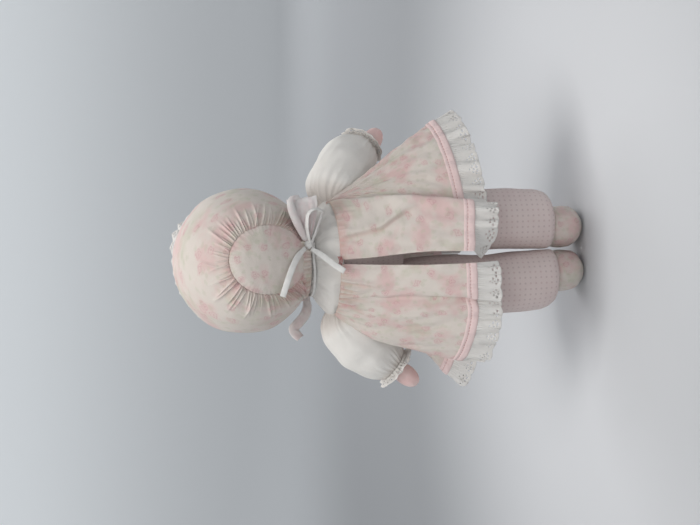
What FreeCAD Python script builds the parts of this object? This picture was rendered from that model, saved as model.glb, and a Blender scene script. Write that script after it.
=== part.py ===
import FreeCAD, Part
import Sketcher
import math
import os

# A standing stuffed rag doll in a bonnet, puffed sleeves and a gathered skirt.
# Millimetres, +Z up. The doll faces -Y and its left hand is towards +X.
# The origin is on the floor, under the middle of the doll.

SIZES = [
    ("clearance", 0.5, "gap between bodies that move apart"),
    ("cloth", 1.2, "thickness of one stuffed cloth skin"),
    ("skin_gap", 0.3, "gap between a skin and what is inside it"),
    ("hip_height", 180, "height of the hip seams"),
    ("leg_spread", 31.5, "half the distance between the leg centres"),
    ("leg_radius", 30, "radius of a stuffed leg"),
    ("ankle_height", 38, "height of the leg's lower edge, where the bootee begins"),
    ("ankle_radius", 24, "radius of the leg at its lower edge"),
    ("shoe_spread", 22, "half the distance between the bootee centres"),
    ("shoe_half_width", 21, "half width of a bootee"),
    ("shoe_half_length", 36, "half length of a bootee"),
    ("shoe_forward", 12, "how far the bootee's middle is in front of the leg"),
    ("sole_height", 3, "thickness of a bootee's sole"),
    ("torso_base", 212, "height of the trunk's lower end"),
    ("waist_height", 256, "height of the seam between bodice and skirt"),
    ("neckline_height", 279, "height of the bodice's upper edge"),
    ("torso_top", 283, "height of the trunk's upper end"),
    ("torso_half_width", 57, "half width of the trunk at the waist"),
    ("torso_half_depth", 38, "half depth of the trunk at the waist"),
    ("bodice_cloth", 1.5, "thickness of the bodice with its lining"),
    ("casing_cloth", 3.3, "thickness of the rolled casing at the neckline"),
    ("tape_cloth", 0.9, "thickness of the twill tape"),
    ("tape_width", 6, "width of the twill tape"),
    ("neck_height", 284, "height of the neck's turning centre"),
    ("neck_radius", 16, "radius of the neck's rounded stub"),
    ("head_seat", 288, "height of the head's flat neck seam"),
    ("head_height", 345, "height of the head's centre"),
    ("head_half_width", 62, "half width of the head"),
    ("head_half_depth", 55, "half depth of the head"),
    ("head_half_tall", 60, "half height of the head"),
    ("bonnet_height", 347, "height of the bonnet's centre"),
    ("bonnet_half_width", 70.5, "half width of the bonnet's puffed crown"),
    ("bonnet_half_depth", 66, "half depth of the bonnet's puffed crown"),
    ("bonnet_half_tall", 68.5, "half height of the bonnet's puffed crown"),
    ("bonnet_cloth", 2, "thickness of the gathered bonnet cloth"),
    ("bonnet_front", 22, "how far in front of the head's middle the crown ends"),
    ("bonnet_neck_radius", 38, "radius of the bonnet's neck opening"),
    ("back_piece_height", 330, "height of the middle of the bonnet's flat back piece"),
    ("back_piece_half_width", 33, "half width of the back piece"),
    ("back_piece_half_tall", 43, "half height of the back piece"),
    ("band_depth", 7, "front to back depth of the bonnet's band"),
    ("brim_depth", 20, "front to back depth of the lace frill round the face"),
    ("face_opening_low", 297, "height where the band and the frill end beside the chin"),
    ("ribbon_cloth", 1, "thickness of the bonnet's satin ribbon"),
    ("ribbon_width", 12, "width of the bonnet's satin ribbon"),
    ("shoulder_height", 266, "height of the shoulder seams"),
    ("shoulder_plane", 60, "half width across the shoulder seams"),
    ("shoulder_origin", 58, "half width at which the arms' middle lines start"),
    ("shoulder_forward", 2, "how far the shoulders are in front of the middle"),
    ("sleeve_radius", 30, "radius of a puffed sleeve at its fullest"),
    ("sleeve_half_length", 56, "half length of the whole puff"),
    ("sleeve_middle", 43, "distance from shoulder to the fullest place of the puff"),
    ("wrist_distance", 86, "distance from shoulder to the sleeve's lower edge"),
    ("arm_radius", 13, "radius of the stuffed inner arm"),
    ("elastic_radius", 16, "radius of the gathered ring that closes the cuff"),
    ("elastic_half_thick", 1.6, "half thickness of that ring"),
    ("cuff_flare", 27, "radius of the lace cuff's free edge"),
    ("cuff_length", 10, "length of the lace cuff"),
    ("hand_half_width", 12.5, "half width of a mitten hand"),
    ("hand_half_length", 17, "half length of a mitten hand"),
    ("right_arm_down", 35, "degrees that the right arm slopes down"),
    ("right_arm_forward", 38, "degrees that the right arm points forward"),
    ("left_arm_down", 51, "degrees that the left arm slopes down"),
    ("left_arm_forward", 10, "degrees that the left arm points forward"),
    ("skirt_waist_width", 61, "half width of the skirt at the waist seam"),
    ("skirt_waist_depth", 43, "half depth of the skirt at the waist seam"),
    ("skirt_hem_width", 137, "half width of the skirt at the hem"),
    ("skirt_hem_depth", 87, "half depth of the skirt at the hem"),
    ("skirt_hem_height", 139, "height of the skirt's hem"),
    ("skirt_cloth", 2.4, "thickness of the gathered skirt"),
    ("sleeve_room", 2, "room that the skirt leaves round a sleeve"),
    ("binding_width", 6.5, "width of the bias binding on the hem"),
    ("lace_width", 24, "width of the eyelet lace under the binding"),
    ("lace_slope", 0.07, "how much the binding and lace spread for each millimetre down"),
    ("opening_middle", 4, "how far to the left of the middle the back opening is"),
    ("opening_width", 8, "width of the back opening"),
]

REACH = 600  # half size of the boxes that cut away everything on one side of a plane

doc = FreeCAD.newDocument("RagDoll")
sheet = doc.addObject("Spreadsheet::Sheet", "Doll")
nodes = []


# ------------------------------------------------------------ helpers


def fill_sheet():
    """Writes each driving dimension as its meaning, its value and its alias."""
    for row, (alias, value, meaning) in enumerate(SIZES, start=1):
        sheet.set(f"A{row}", meaning)
        sheet.set(f"B{row}", str(value))
        sheet.setAlias(f"B{row}", alias)
    doc.recompute()


def size(alias):
    """The value of one driving dimension."""
    return float(sheet.get(alias))


def formula(text):
    """Turns the plain aliases in a text into references to the sheet."""
    aliases = {alias for alias, _, _ in SIZES}
    spaced = str(text).replace("(", " ( ").replace(")", " ) ")
    return " ".join(f"Doll.{word}" if word in aliases else word for word in spaced.split())


def bind(obj, **formulas):
    """Binds properties of an object to formulas; a double underscore stands for a dot."""
    for name, text in formulas.items():
        obj.setExpression(name.replace("__", "."), formula(text))
    return obj


def place(obj, at):
    """Binds the position of an object to three formulas."""
    return bind(obj, Placement__Base__x=at[0], Placement__Base__y=at[1], Placement__Base__z=at[2])


def primitive(kind, name, at=(0, 0, 0), **sizes):
    """A Part primitive whose sizes and position follow the sheet."""
    return place(bind(doc.addObject(f"Part::{kind}", name), **sizes), at)


def ellipsoid(name, x_half, y_half, z_half, at=(0, 0, 0)):
    """A full ellipsoid with the three half sizes, centred at a point."""
    return primitive("Ellipsoid", name, at, Radius1=z_half, Radius2=x_half, Radius3=y_half)


def block(name, low, high):
    """A box between two corners."""
    sides = [f"({b}) - ({a})" for a, b in zip(low, high)]
    return primitive("Box", name, low, Length=sides[0], Width=sides[1], Height=sides[2])


def joined(kind, name, base, tool):
    """Base and tool combined by Part's Cut or Common."""
    result = doc.addObject(f"Part::{kind}", name)
    result.Base = base
    result.Tool = tool
    return result


def cut(name, base, *tools):
    """Base without any of the tools."""
    for number, tool in enumerate(tools):
        last = number == len(tools) - 1
        base = joined("Cut", name if last else f"{name}_step{number}", base, tool)
    return base


def common(name, base, tool):
    """What base and tool share."""
    return joined("Common", name, base, tool)


def fuse(name, *shapes):
    """Several solids joined into one."""
    result = doc.addObject("Part::MultiFuse", name)
    result.Shapes = list(shapes)
    return result


def ellipse(name, half_width, half_depth, at, rotation=None):
    """An ellipse for a loft or an extrusion, wider than it is deep."""
    ring = doc.addObject("Part::Ellipse", name)
    ring.MajorRadius = REACH
    if rotation is not None:
        ring.Placement = FreeCAD.Placement(FreeCAD.Vector(), rotation)
    bind(ring, MinorRadius=half_depth, MajorRadius=half_width)
    return place(ring, at)


def loft(name, sections, grow=0, ends=0, spin=0):
    """A solid through level ellipses, each given as x, y, z, half width and half depth.
    grow widens every ellipse and ends moves the two end ones outward. The surface's seam is
    on the +X side, turned by spin degrees; a spin of 90 is for solids deeper than wide."""
    rings = []
    turned = spin == 90
    turn = FreeCAD.Rotation(FreeCAD.Vector(0, 0, 1), spin)
    for number, (x, y, z, half_width, half_depth) in enumerate(sections):
        side = -1 if number == 0 else 1 if number == len(sections) - 1 else 0
        wide, deep = (half_depth, half_width) if turned else (half_width, half_depth)
        at = (x, y, f"{z} + {side} * ({ends})")
        ring = ellipse(f"{name}_ring{number}", f"{wide} + ({grow})", f"{deep} + ({grow})", at, turn)
        rings.append(ring)
    solid = doc.addObject("Part::Loft", name)
    solid.Sections = rings
    solid.Solid = True
    solid.Ruled = False
    return solid


def egg(name, x_half, y_half, z_half, at=(0, 0, 0)):
    """A rounded solid close to an ellipsoid with the three half sizes, centred at a point."""
    x, y, z = at
    sections = []
    for latitude in (-85, -60, -30, 0, 30, 60, 85):
        rise, reach = math.sin(math.radians(latitude)), math.cos(math.radians(latitude))
        level = f"{z} + {rise:.5f} * ({z_half})"
        sections.append((x, y, level, f"{reach:.5f} * ({x_half})", f"{reach:.5f} * ({y_half})"))
    return loft(name, sections)


def oval_bar(name, half_width, half_tall, depth, at):
    """An elliptic cylinder that runs from a point along +Y."""
    wide = size_of(half_width) >= size_of(half_tall)
    upright = FreeCAD.Rotation(FreeCAD.Vector(1, 0, 0), 90)
    sideways = FreeCAD.Rotation(FreeCAD.Vector(0, 1, 0), 90)
    rotation = upright if wide else sideways.multiply(upright)
    halves = (half_width, half_tall) if wide else (half_tall, half_width)
    bar = doc.addObject("Part::Extrusion", name)
    bar.Base = ellipse(f"{name}_ring", *halves, at, rotation)
    bar.DirMode = "Custom"
    bar.Dir = FreeCAD.Vector(0, 1, 0)
    bar.Solid = True
    return bind(bar, LengthFwd=depth)


def size_of(value):
    """The value of a formula made of aliases and numbers joined by plus and minus."""
    total, sign = 0.0, 1
    for word in str(value).split():
        if word in "+-":
            sign = 1 if word == "+" else -1
            continue
        total += sign * (size(word) if word[0].isalpha() else float(word))
    return total


def sub_part(name, obj):
    """Registers an object as one of the doll's pieces; its label names its file."""
    obj.Label = name
    nodes.append(obj)
    return obj


# ------------------------------------------------------------ trunk and bodice

TORSO = [
    (0, 0, "torso_base", 46, 31),
    (0, 0, "torso_base + 12", "torso_half_width - 1", "torso_half_depth - 1"),
    (0, 0, "waist_height - 5", "torso_half_width", "torso_half_depth"),
    (0, 0, "shoulder_height - 4", "torso_half_width - 3", "torso_half_depth - 5"),
    (0, 0, "torso_top - 8", 40, 26),
    (0, 0, "torso_top", 25, 20),
]


def neck_ball(name, gap):
    """The ball that the neck's stub turns in, widened by a gap."""
    return primitive("Sphere", name, (0, 0, "neck_height"), Radius=f"neck_radius + {gap}")


def build_torso():
    inner = "skin_gap + cloth"
    outside = cut("torso_outside", loft("torso_form", TORSO), neck_ball("socket", "clearance"))
    hollow_form = loft("torso_hollow_form", TORSO, "0 - cloth", "0 - cloth")
    hollow = cut("torso_hollow", hollow_form, neck_ball("socket_back", "clearance + cloth"))
    sub_part("torso", cut("torso_skin", outside, hollow))
    fill_form = loft("torso_fill_form", TORSO, f"0 - ({inner})", f"0 - ({inner})")
    filling = cut("torso_fill", fill_form, neck_ball("socket_fill", f"clearance + {inner}"))
    sub_part("torso_stuffing", filling)


def wrap(name, gap, thick, low, high):
    """A layer of cloth round the trunk between two heights."""
    outside = loft(f"{name}_outside", TORSO, f"{gap} + {thick}")
    inside = loft(f"{name}_inside", TORSO, gap)
    layer = cut(f"{name}_layer", outside, inside)
    zone = block(f"{name}_zone", (-REACH, -REACH, low), (REACH, REACH, high))
    return common(f"{name}_wrap", layer, zone)


def build_bodice():
    sub_part("bodice", wrap("cotton", "skin_gap", "bodice_cloth", "waist_height", "neckline_height"))
    sub_part("neck_casing", wrap("casing", "skin_gap", "casing_cloth", "neckline_height", "torso_top"))
    tape = wrap(
        "tape", "2 * skin_gap + casing_cloth", "tape_cloth", "neckline_height + 0.8", "torso_top - 0.8"
    )
    sub_part("neck_tape", tape)
    stitch_at = ("opening_middle", "skirt_waist_depth + 1.2", "waist_height + 0.4")
    sub_part("closure_stitch", ellipsoid("stitch", 3, 1, 1.4, stitch_at))


# ------------------------------------------------------------ bow at the nape

KNOT_AT = (-14, 35.8, 286.2)
LOOP_WALL = 0.9


def ribbon_loop(name, half_length, half_tall, width, at, tilt):
    """A flattened loop of ribbon that stands on edge and slopes by tilt degrees."""
    outside = oval_bar(f"{name}_outside", half_length, half_tall, width, (0, f"0 - 0.5 * {width}", 0))
    inside = oval_bar(
        f"{name}_inside",
        half_length - LOOP_WALL,
        half_tall - LOOP_WALL,
        f"{width} + 4",
        (0, f"0 - 0.5 * {width} - 2", 0),
    )
    ring = cut(f"{name}_ring", outside, inside)
    turn = FreeCAD.Rotation(FreeCAD.Vector(0, 1, 0), tilt)
    ring.Placement = FreeCAD.Placement(FreeCAD.Vector(*at), turn)
    return ring


def rounded_path(points):
    """A wire of straight runs joined by tangent arcs, each as large as its two runs allow."""
    corners = [FreeCAD.Vector(*point) for point in points]
    edges, start, radii = [], corners[0], []
    for before, corner, after in zip(corners, corners[1:], corners[2:]):
        back, ahead = before - corner, after - corner
        reach = 0.45 * min(back.Length, ahead.Length)
        back.normalize()
        ahead.normalize()
        half_turn = (math.pi - back.getAngle(ahead)) / 2
        radii.append(reach / math.tan(half_turn))
        enter, leave = corner + back * reach, corner + ahead * reach
        bisector = (back + ahead).normalize()
        middle = corner + bisector * (radii[-1] / math.cos(half_turn) - radii[-1])
        edges.append(Part.LineSegment(start, enter).toShape())
        edges.append(Part.Arc(enter, middle, leave).toShape())
        start = leave
    edges.append(Part.LineSegment(start, corners[-1]).toShape())
    return Part.Wire(edges), radii


def tape_tail(name, points, radius):
    """A round solid along one free end of tape, with the tape's full width as its diameter."""
    wire, radii = rounded_path(points)
    start_direction = FreeCAD.Vector(*points[1]) - FreeCAD.Vector(*points[0])
    circle = Part.Circle(FreeCAD.Vector(*points[0]), start_direction, radius)
    tube = wire.makePipeShell([Part.Wire(circle.toShape())], True, False)
    share = tube.Volume / (math.pi * radius**2 * wire.Length)
    bends = ", ".join(f"{value:.0f}" for value in radii)
    print(f"{name}: length {wire.Length:.1f}, bend radii {bends}, volume share {share:.3f}")
    solid = doc.addObject("Part::Feature", f"{name}_tube")
    solid.Shape = tube
    return sub_part(name, solid)


TAIL_UP = [(-10, 42, 290), (-4, 52, 298), (7, 59.5, 305), (21, 62, 311), (36, 59, 316)]
TAIL_DOWN = [(-9, 39.5, 284), (-4, 43.5, 276.5), (2, 47, 269.5), (8.5, 50, 262.5), (14, 54, 254.5)]


def build_nape_bow():
    sub_part("tie_knot", ellipsoid("knot", 6, 4.5, 4.5, KNOT_AT))
    sub_part("tie_loop_narrow", ribbon_loop("narrow", 18, 6.5, "tape_width", (-34.5, 33, 281), -15))
    sub_part("tie_loop_wide", ribbon_loop("wide", 20, 8, "ribbon_width - 2", (-39, 46, 295), 28))
    tape_tail("tie_tail_up", TAIL_UP, size("tape_width") / 2)
    tape_tail("tie_tail_down", TAIL_DOWN, size("tape_width") / 2)


# ------------------------------------------------------------ skirt


def skirt_ring(height):
    """The skirt's outer half width and half depth at a height, as formulas."""
    below = size_of(height) - size("skirt_hem_height")
    if below <= 0:
        spread = f"(skirt_hem_height - ({height})) * lace_slope"
        return f"skirt_hem_width + {spread}", f"skirt_hem_depth + {spread}"
    share = f"((waist_height - ({height})) / (waist_height - skirt_hem_height))"
    width = f"skirt_waist_width + (skirt_hem_width - skirt_waist_width) * {share}"
    depth = f"skirt_waist_depth + (skirt_hem_depth - skirt_waist_depth) * {share}"
    return width, depth


def bell(name, low, high, outside, inside, spin):
    """A tube of cloth between two heights, with its walls offset from the skirt's line. It flares
    down to the hem, and what is below the hem hangs nearly straight."""
    rings = [(0, 0, height, *skirt_ring(height)) for height in (low, high)]
    out = loft(f"{name}_out", rings, outside, spin=spin)
    return cut(f"{name}_tube", out, loft(f"{name}_in", rings, inside, 0.01, spin))


def build_skirt():
    """Cloth, bias binding and lace, each in a left and a right half with the back left open."""
    hem, bound_edge = "skirt_hem_height", "skirt_hem_height - binding_width"
    layers = [
        ("skirt", hem, "waist_height", "0", "0 - skirt_cloth"),
        ("hem_binding", bound_edge, hem, "0.8", "0 - skirt_cloth - 0.4"),
        ("hem_lace", f"{bound_edge} - lace_width", bound_edge, "0.4", "0 - 1.6"),
    ]
    for layer, low, high, outside, inside in layers:
        for side in ("left", "right"):
            seam_side = 180 if side == "left" else 0
            tube = bell(f"{side}_{layer}", low, high, outside, inside, seam_side)
            if layer == "skirt":
                tube = cut(f"{side}_{layer}_dented", tube, *arm_room(f"{side}_dent", side))
            half = common(f"{side}_{layer}_half", tube, half_space(f"{side}_{layer}_side", side))
            edges = ("opening_middle - 0.5 * opening_width", "opening_middle + 0.5 * opening_width")
            slot = block(f"{side}_{layer}_slot", (edges[0], 0, -REACH), (edges[1], REACH, REACH))
            sub_part(f"{layer}_{side}", cut(f"{side}_{layer}_open", half, slot))


def half_space(name, side, offset=0):
    """Everything on the doll's left or right of the middle, from an offset outward."""
    if side == "left":
        return block(name, (offset, -REACH, -REACH), (REACH, REACH, REACH))
    return block(name, (-REACH, -REACH, -REACH), (f"0 - ({offset})", REACH, REACH))


# ------------------------------------------------------------ arms


ARM_START = 3  # where the inner arm's flat end is, inside the sleeve
LACE_CLOTH = 1.4  # thickness of a cuff's gathered lace


def arm_frame(side):
    """The shoulder's place, turned so that +Z runs down the arm."""
    down = math.radians(size(f"{side}_arm_down"))
    forward = math.radians(size(f"{side}_arm_forward"))
    sign = 1 if side == "left" else -1
    along = FreeCAD.Vector(
        sign * math.cos(down) * math.cos(forward), -math.cos(down) * math.sin(forward), -math.sin(down)
    )
    shoulder = FreeCAD.Vector(
        sign * size("shoulder_origin"), -size("shoulder_forward"), size("shoulder_height")
    )
    return FreeCAD.Placement(shoulder, FreeCAD.Rotation(FreeCAD.Vector(0, 0, 1), along))


def down_arm(obj, side, distance, across=(0, 0)):
    """Places an object at a distance down an arm, with its +Z along the arm."""
    step = FreeCAD.Placement(FreeCAD.Vector(across[0], across[1], distance), FreeCAD.Rotation())
    obj.Placement = arm_frame(side).multiply(step)
    return obj


def puff(name, side, grow):
    """The full form of a puffed sleeve, widened by grow."""
    radius = f"sleeve_radius + ({grow})"
    form = egg(name, radius, radius, f"sleeve_half_length + ({grow})")
    return down_arm(form, side, size("sleeve_middle"))


def arm_room(name, side):
    """The room that the skirt leaves round a sleeve and its lace cuff."""
    start = size("wrist_distance")
    radius, height = "cuff_flare + sleeve_room", "cuff_length + 6"
    cuff = arm_solid("Cylinder", f"{name}_cuff", side, start, Radius=radius, Height=height)
    return cuff, puff(f"{name}_sleeve", side, "sleeve_room")


def arm_solid(kind, name, side, distance, **sizes):
    """A Part primitive with bound sizes, placed down an arm."""
    return down_arm(bind(doc.addObject(f"Part::{kind}", name), **sizes), side, distance)


def beyond(name, side, distance):
    """Everything further down an arm than a distance."""
    solid = bind(doc.addObject("Part::Box", name), Length=REACH, Width=REACH, Height=REACH)
    return down_arm(solid, side, distance, (-REACH / 2, -REACH / 2))


def build_arm(side):
    wrist = size("wrist_distance")
    outer = half_space(f"{side}_outer_side", side, "shoulder_plane")

    outside = puff(f"{side}_puff_out", side, "0")
    shell = cut(f"{side}_puff", outside, puff(f"{side}_puff_in", side, "0 - bodice_cloth"))
    trimmed = cut(f"{side}_puff_trimmed", shell, beyond(f"{side}_past_wrist", side, wrist))
    sub_part(f"{side}_sleeve", common(f"{side}_sleeve_cloth", trimmed, outer))

    hand_start = wrist + 4
    arm_length = hand_start - ARM_START
    bar = arm_solid("Cylinder", f"{side}_bar", side, ARM_START, Radius="arm_radius", Height=arm_length)
    sub_part(f"{side}_arm", common(f"{side}_arm_fill", bar, outer))

    ring = arm_solid(
        "Torus",
        f"{side}_elastic_ring",
        side,
        wrist + size("skin_gap") + size("elastic_half_thick"),
        Radius1="elastic_radius",
        Radius2="elastic_half_thick",
    )
    sub_part(f"{side}_cuff_elastic", ring)

    frill = {"side": side, "distance": hand_start}
    cones = []
    for name, inset in (("out", 0), ("in", LACE_CLOTH)):
        narrow, wide = f"elastic_radius - {inset}", f"cuff_flare - {inset}"
        sizes = {"Radius1": narrow, "Radius2": wide, "Height": "cuff_length"}
        cones.append(arm_solid("Cone", f"{side}_frill_{name}", **frill, **sizes))
    sub_part(f"{side}_cuff_lace", cut(f"{side}_frill", *cones))

    palm = arm_solid(
        "Ellipsoid",
        f"{side}_palm",
        side,
        hand_start + 11,
        Radius1="hand_half_length",
        Radius2="hand_half_width",
        Radius3="hand_half_width - 2",
    )
    thumb = bind(doc.addObject("Part::Ellipsoid", f"{side}_thumb"), Radius1=8, Radius2=4.5, Radius3=4.5)
    down_arm(thumb, side, hand_start + 8, (0, -9))
    mitten = fuse(f"{side}_mitten", palm, thumb)
    before = bind(doc.addObject("Part::Box", f"{side}_before_hand"), Length=80, Width=80, Height=60)
    down_arm(before, side, hand_start - 60, (-40, -40))
    sub_part(f"{side}_hand", cut(f"{side}_hand_cloth", mitten, before))


# ------------------------------------------------------------ legs


def leg_sections(sign):
    """The leg's level sections from the ankle to the hip."""
    spread, radius = f"{sign} * leg_spread", "leg_radius"
    low = f"{sign} * (leg_spread - 5)"
    return [
        (low, 0, "ankle_height", "ankle_radius", "ankle_radius"),
        (f"{sign} * (leg_spread - 1.5)", 0, "ankle_height + 10", f"{radius} - 1", f"{radius} - 1"),
        (spread, 0, "ankle_height + 62", radius, radius),
        (spread, 0, "hip_height", radius, radius),
    ]


def leg_form(name, side, grow, ends):
    """The leg's loft with a round hip end."""
    sign = 1 if side == "left" else -1
    sections = [
        (x, y, z, f"{width} + ({grow})", f"{depth} + ({grow})")
        for x, y, z, width, depth in leg_sections(sign)
    ]
    x, y, z, width, depth = sections[0]
    sections[0] = (x, y, f"{z} - ({ends})", width, depth)
    trunk = loft(f"{name}_shaft", sections)
    hip_at = (sections[-1][0], 0, "hip_height")
    top = primitive("Sphere", f"{name}_hip", hip_at, Radius=f"leg_radius + ({grow})")
    top.Angle1 = 0
    return fuse(name, trunk, top)


def stadium_body(name, half_width, half_length, height):
    """A PartDesign body: an upright plate with straight sides and round ends."""
    body = doc.addObject("PartDesign::Body", f"{name}_body")
    sketch = body.newObject("Sketcher::SketchObject", f"{name}_outline")
    plane = next(f for f in body.Origin.OriginFeatures if f.Role == "XY_Plane")
    sketch.AttachmentSupport = (plane, [""])
    sketch.MapMode = "FlatFace"
    radius = size_of(half_width)
    straight = size_of(half_length) - radius
    normal = FreeCAD.Vector(0, 0, 1)
    point = FreeCAD.Vector
    toe = sketch.addGeometry(
        Part.ArcOfCircle(Part.Circle(point(0, straight, 0), normal, radius), 0, math.pi), False
    )
    heel = sketch.addGeometry(
        Part.ArcOfCircle(Part.Circle(point(0, -straight, 0), normal, radius), math.pi, 2 * math.pi), False
    )
    one_side = sketch.addGeometry(
        Part.LineSegment(point(-radius, straight, 0), point(-radius, -straight, 0)), False
    )
    other_side = sketch.addGeometry(
        Part.LineSegment(point(radius, -straight, 0), point(radius, straight, 0)), False
    )
    start, end, centre, axis_origin = 1, 2, 3, (-1, 1)
    for first, second in (
        ((toe, end), (one_side, start)),
        ((one_side, end), (heel, start)),
        ((heel, end), (other_side, start)),
        ((other_side, end), (toe, start)),
    ):
        sketch.addConstraint(Sketcher.Constraint("Tangent", *first, *second))
    sketch.addConstraint(Sketcher.Constraint("Vertical", one_side))
    sketch.addConstraint(Sketcher.Constraint("Symmetric", toe, centre, heel, centre, *axis_origin))
    end_radius = sketch.addConstraint(Sketcher.Constraint("Radius", toe, radius))
    spacing = sketch.addConstraint(
        Sketcher.Constraint("DistanceY", heel, centre, toe, centre, 2 * straight)
    )
    sketch.setExpression(f"Constraints[{end_radius}]", formula(half_width))
    sketch.setExpression(f"Constraints[{spacing}]", formula(f"2 * ({half_length} - ({half_width}))"))
    pad = body.newObject("PartDesign::Pad", f"{name}_plate")
    pad.Profile = sketch
    bind(pad, Length=height)
    return body


def build_leg(side):
    sign = 1 if side == "left" else -1
    outside = leg_form(f"{side}_leg_form", side, "0", "0")
    hollow = leg_form(f"{side}_leg_hollow", side, "0 - cloth", "0 - cloth")
    sub_part(f"{side}_leg", cut(f"{side}_leg_skin", outside, hollow))
    inner = "0 - cloth - skin_gap"
    sub_part(f"{side}_leg_stuffing", leg_form(f"{side}_leg_fill", side, inner, inner))

    x, back = f"{sign} * shoe_spread", "0 - shoe_forward"
    sections = [
        (x, back, "sole_height", "shoe_half_width - 0.5", "shoe_half_length - 0.5"),
        (x, back, "sole_height + 12", "shoe_half_width", "shoe_half_length"),
        (x, f"{back} + 5", "sole_height + 24", "shoe_half_width", "shoe_half_length - 6"),
        (x, f"{back} + 11", "ankle_height", "shoe_half_width - 1", "shoe_half_width - 0.5"),
    ]
    sub_part(f"{side}_shoe", loft(f"{side}_shoe_form", sections, spin=90))
    sole = stadium_body(f"{side}_sole", "shoe_half_width - 1.5", "shoe_half_length - 1.5", "sole_height")
    place(sole, (x, back, 0))
    sub_part(f"{side}_sole", sole)


# ------------------------------------------------------------ neck, head and face


def build_neck():
    stub = neck_ball("neck_stub", "0")
    stem = primitive(
        "Cylinder",
        "neck_stem",
        (0, 0, "neck_height"),
        Radius="neck_radius - 3",
        Height="head_seat - neck_height",
    )
    above = block("above_neck", (-REACH, -REACH, "head_seat - clearance"), (REACH, REACH, REACH))
    sub_part("neck", cut("neck_form", fuse("neck_whole", stub, stem), above))


def head_form(name, grow, seat):
    """The head's rounded form, cut flat where it meets the neck."""
    halves = [f"{half} + ({grow})" for half in ("head_half_width", "head_half_depth", "head_half_tall")]
    whole = egg(f"{name}_whole", *halves, (0, 0, "head_height"))
    below = block(f"{name}_below", (-REACH, -REACH, -REACH), (REACH, REACH, seat))
    return cut(name, whole, below)


FEATURES = [
    ("left_eye", (4.5, 2.5, 6), (20, 350)),
    ("right_eye", (4.5, 2.5, 6), (-20, 350)),
    ("mouth", (8, 2.5, 2), (0, 323)),
]


def build_head():
    outside = head_form("head_outside", "0", "head_seat")
    hollow = head_form("head_hollow", "0 - cloth", "head_seat + cloth")
    sub_part("head", cut("head_skin", outside, hollow))
    inner = "0 - cloth - skin_gap"
    sub_part("head_stuffing", head_form("head_fill", inner, "head_seat + cloth + skin_gap"))
    for name, halves, (x, z) in FEATURES:
        across = (x / size("head_half_width")) ** 2
        upward = ((z - size("head_height")) / size("head_half_tall")) ** 2
        front = -size("head_half_depth") * math.sqrt(1 - across - upward)
        pad = ellipsoid(f"{name}_pad", *halves, (x, front, z))
        sub_part(name, cut(f"{name}_form", pad, head_form(f"{name}_seat", "0.02", "head_seat")))
    button = doc.addObject("Part::Sphere", "nose_button")
    button.Placement.Rotation = FreeCAD.Rotation(FreeCAD.Vector(1, 0, 0), 90)
    button.Angle1 = 0
    place(bind(button, Radius=3.5), (0, "0 - head_half_depth", "head_height - 8"))
    sub_part("nose", button)


# ------------------------------------------------------------ bonnet


def bonnet_form(name, grow):
    """The full rounded form of the puffed bonnet."""
    bonnet = ("bonnet_half_width", "bonnet_half_depth", "bonnet_half_tall")
    halves = [f"{half} + ({grow})" for half in bonnet]
    return egg(name, *halves, (0, 0, "bonnet_height"))


def build_bonnet():
    inside = bonnet_form("bonnet_in", "0 - bonnet_cloth")
    shell = cut("bonnet_shell", bonnet_form("bonnet_out", "0"), inside)
    front = block("bonnet_face", (-REACH, -REACH, -REACH), (REACH, "0 - bonnet_front", REACH))
    neck = primitive("Cylinder", "bonnet_neck", (0, 0, 200), Radius="bonnet_neck_radius", Height=120)
    open_shell = cut("bonnet_open", shell, front, neck)
    halves = ("back_piece_half_width", "back_piece_half_tall")
    at = (0, 0, "back_piece_height")
    sub_part("bonnet_back", common("back_piece", open_shell, oval_bar("back_zone", *halves, 100, at)))
    sub_part("bonnet_crown", cut("crown", open_shell, oval_bar("back_gap", *halves, 100, at)))

    face_ring("bonnet_band", 65.5, 63.5, 3.5, "bonnet_front + band_depth", "band_depth")
    face_ring("brim_lace", 68.5, 67, 2, "bonnet_front + band_depth + brim_depth", "brim_depth")


def face_ring(name, half_width, half_tall, thick, reach, depth):
    """A band round the face, open under the chin, whose front edge is reach before the middle."""
    at = (0, f"0 - ({reach})", "bonnet_height")
    outside = oval_bar(f"{name}_out", half_width, half_tall, depth, at)
    inside = oval_bar(f"{name}_in", half_width - thick, half_tall - thick, depth, at)
    below = block(f"{name}_below", (-REACH, -REACH, -REACH), (REACH, REACH, "face_opening_low"))
    sub_part(name, cut(f"{name}_ring", outside, inside, below))


CHIN_KNOT_AT = (0, -48, 284)


def ribbon_bar(name, start, end, width):
    """A flat free end of ribbon between two points, standing on edge."""
    first, last = FreeCAD.Vector(*start), FreeCAD.Vector(*end)
    bar = doc.addObject("Part::Box", f"{name}_bar")
    bind(bar, Length=(last - first).Length, Width="ribbon_cloth", Height=width)
    turn = FreeCAD.Rotation(FreeCAD.Vector(1, 0, 0), last - first)
    bar.Placement = FreeCAD.Placement(first, turn)
    return sub_part(name, bar)


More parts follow.
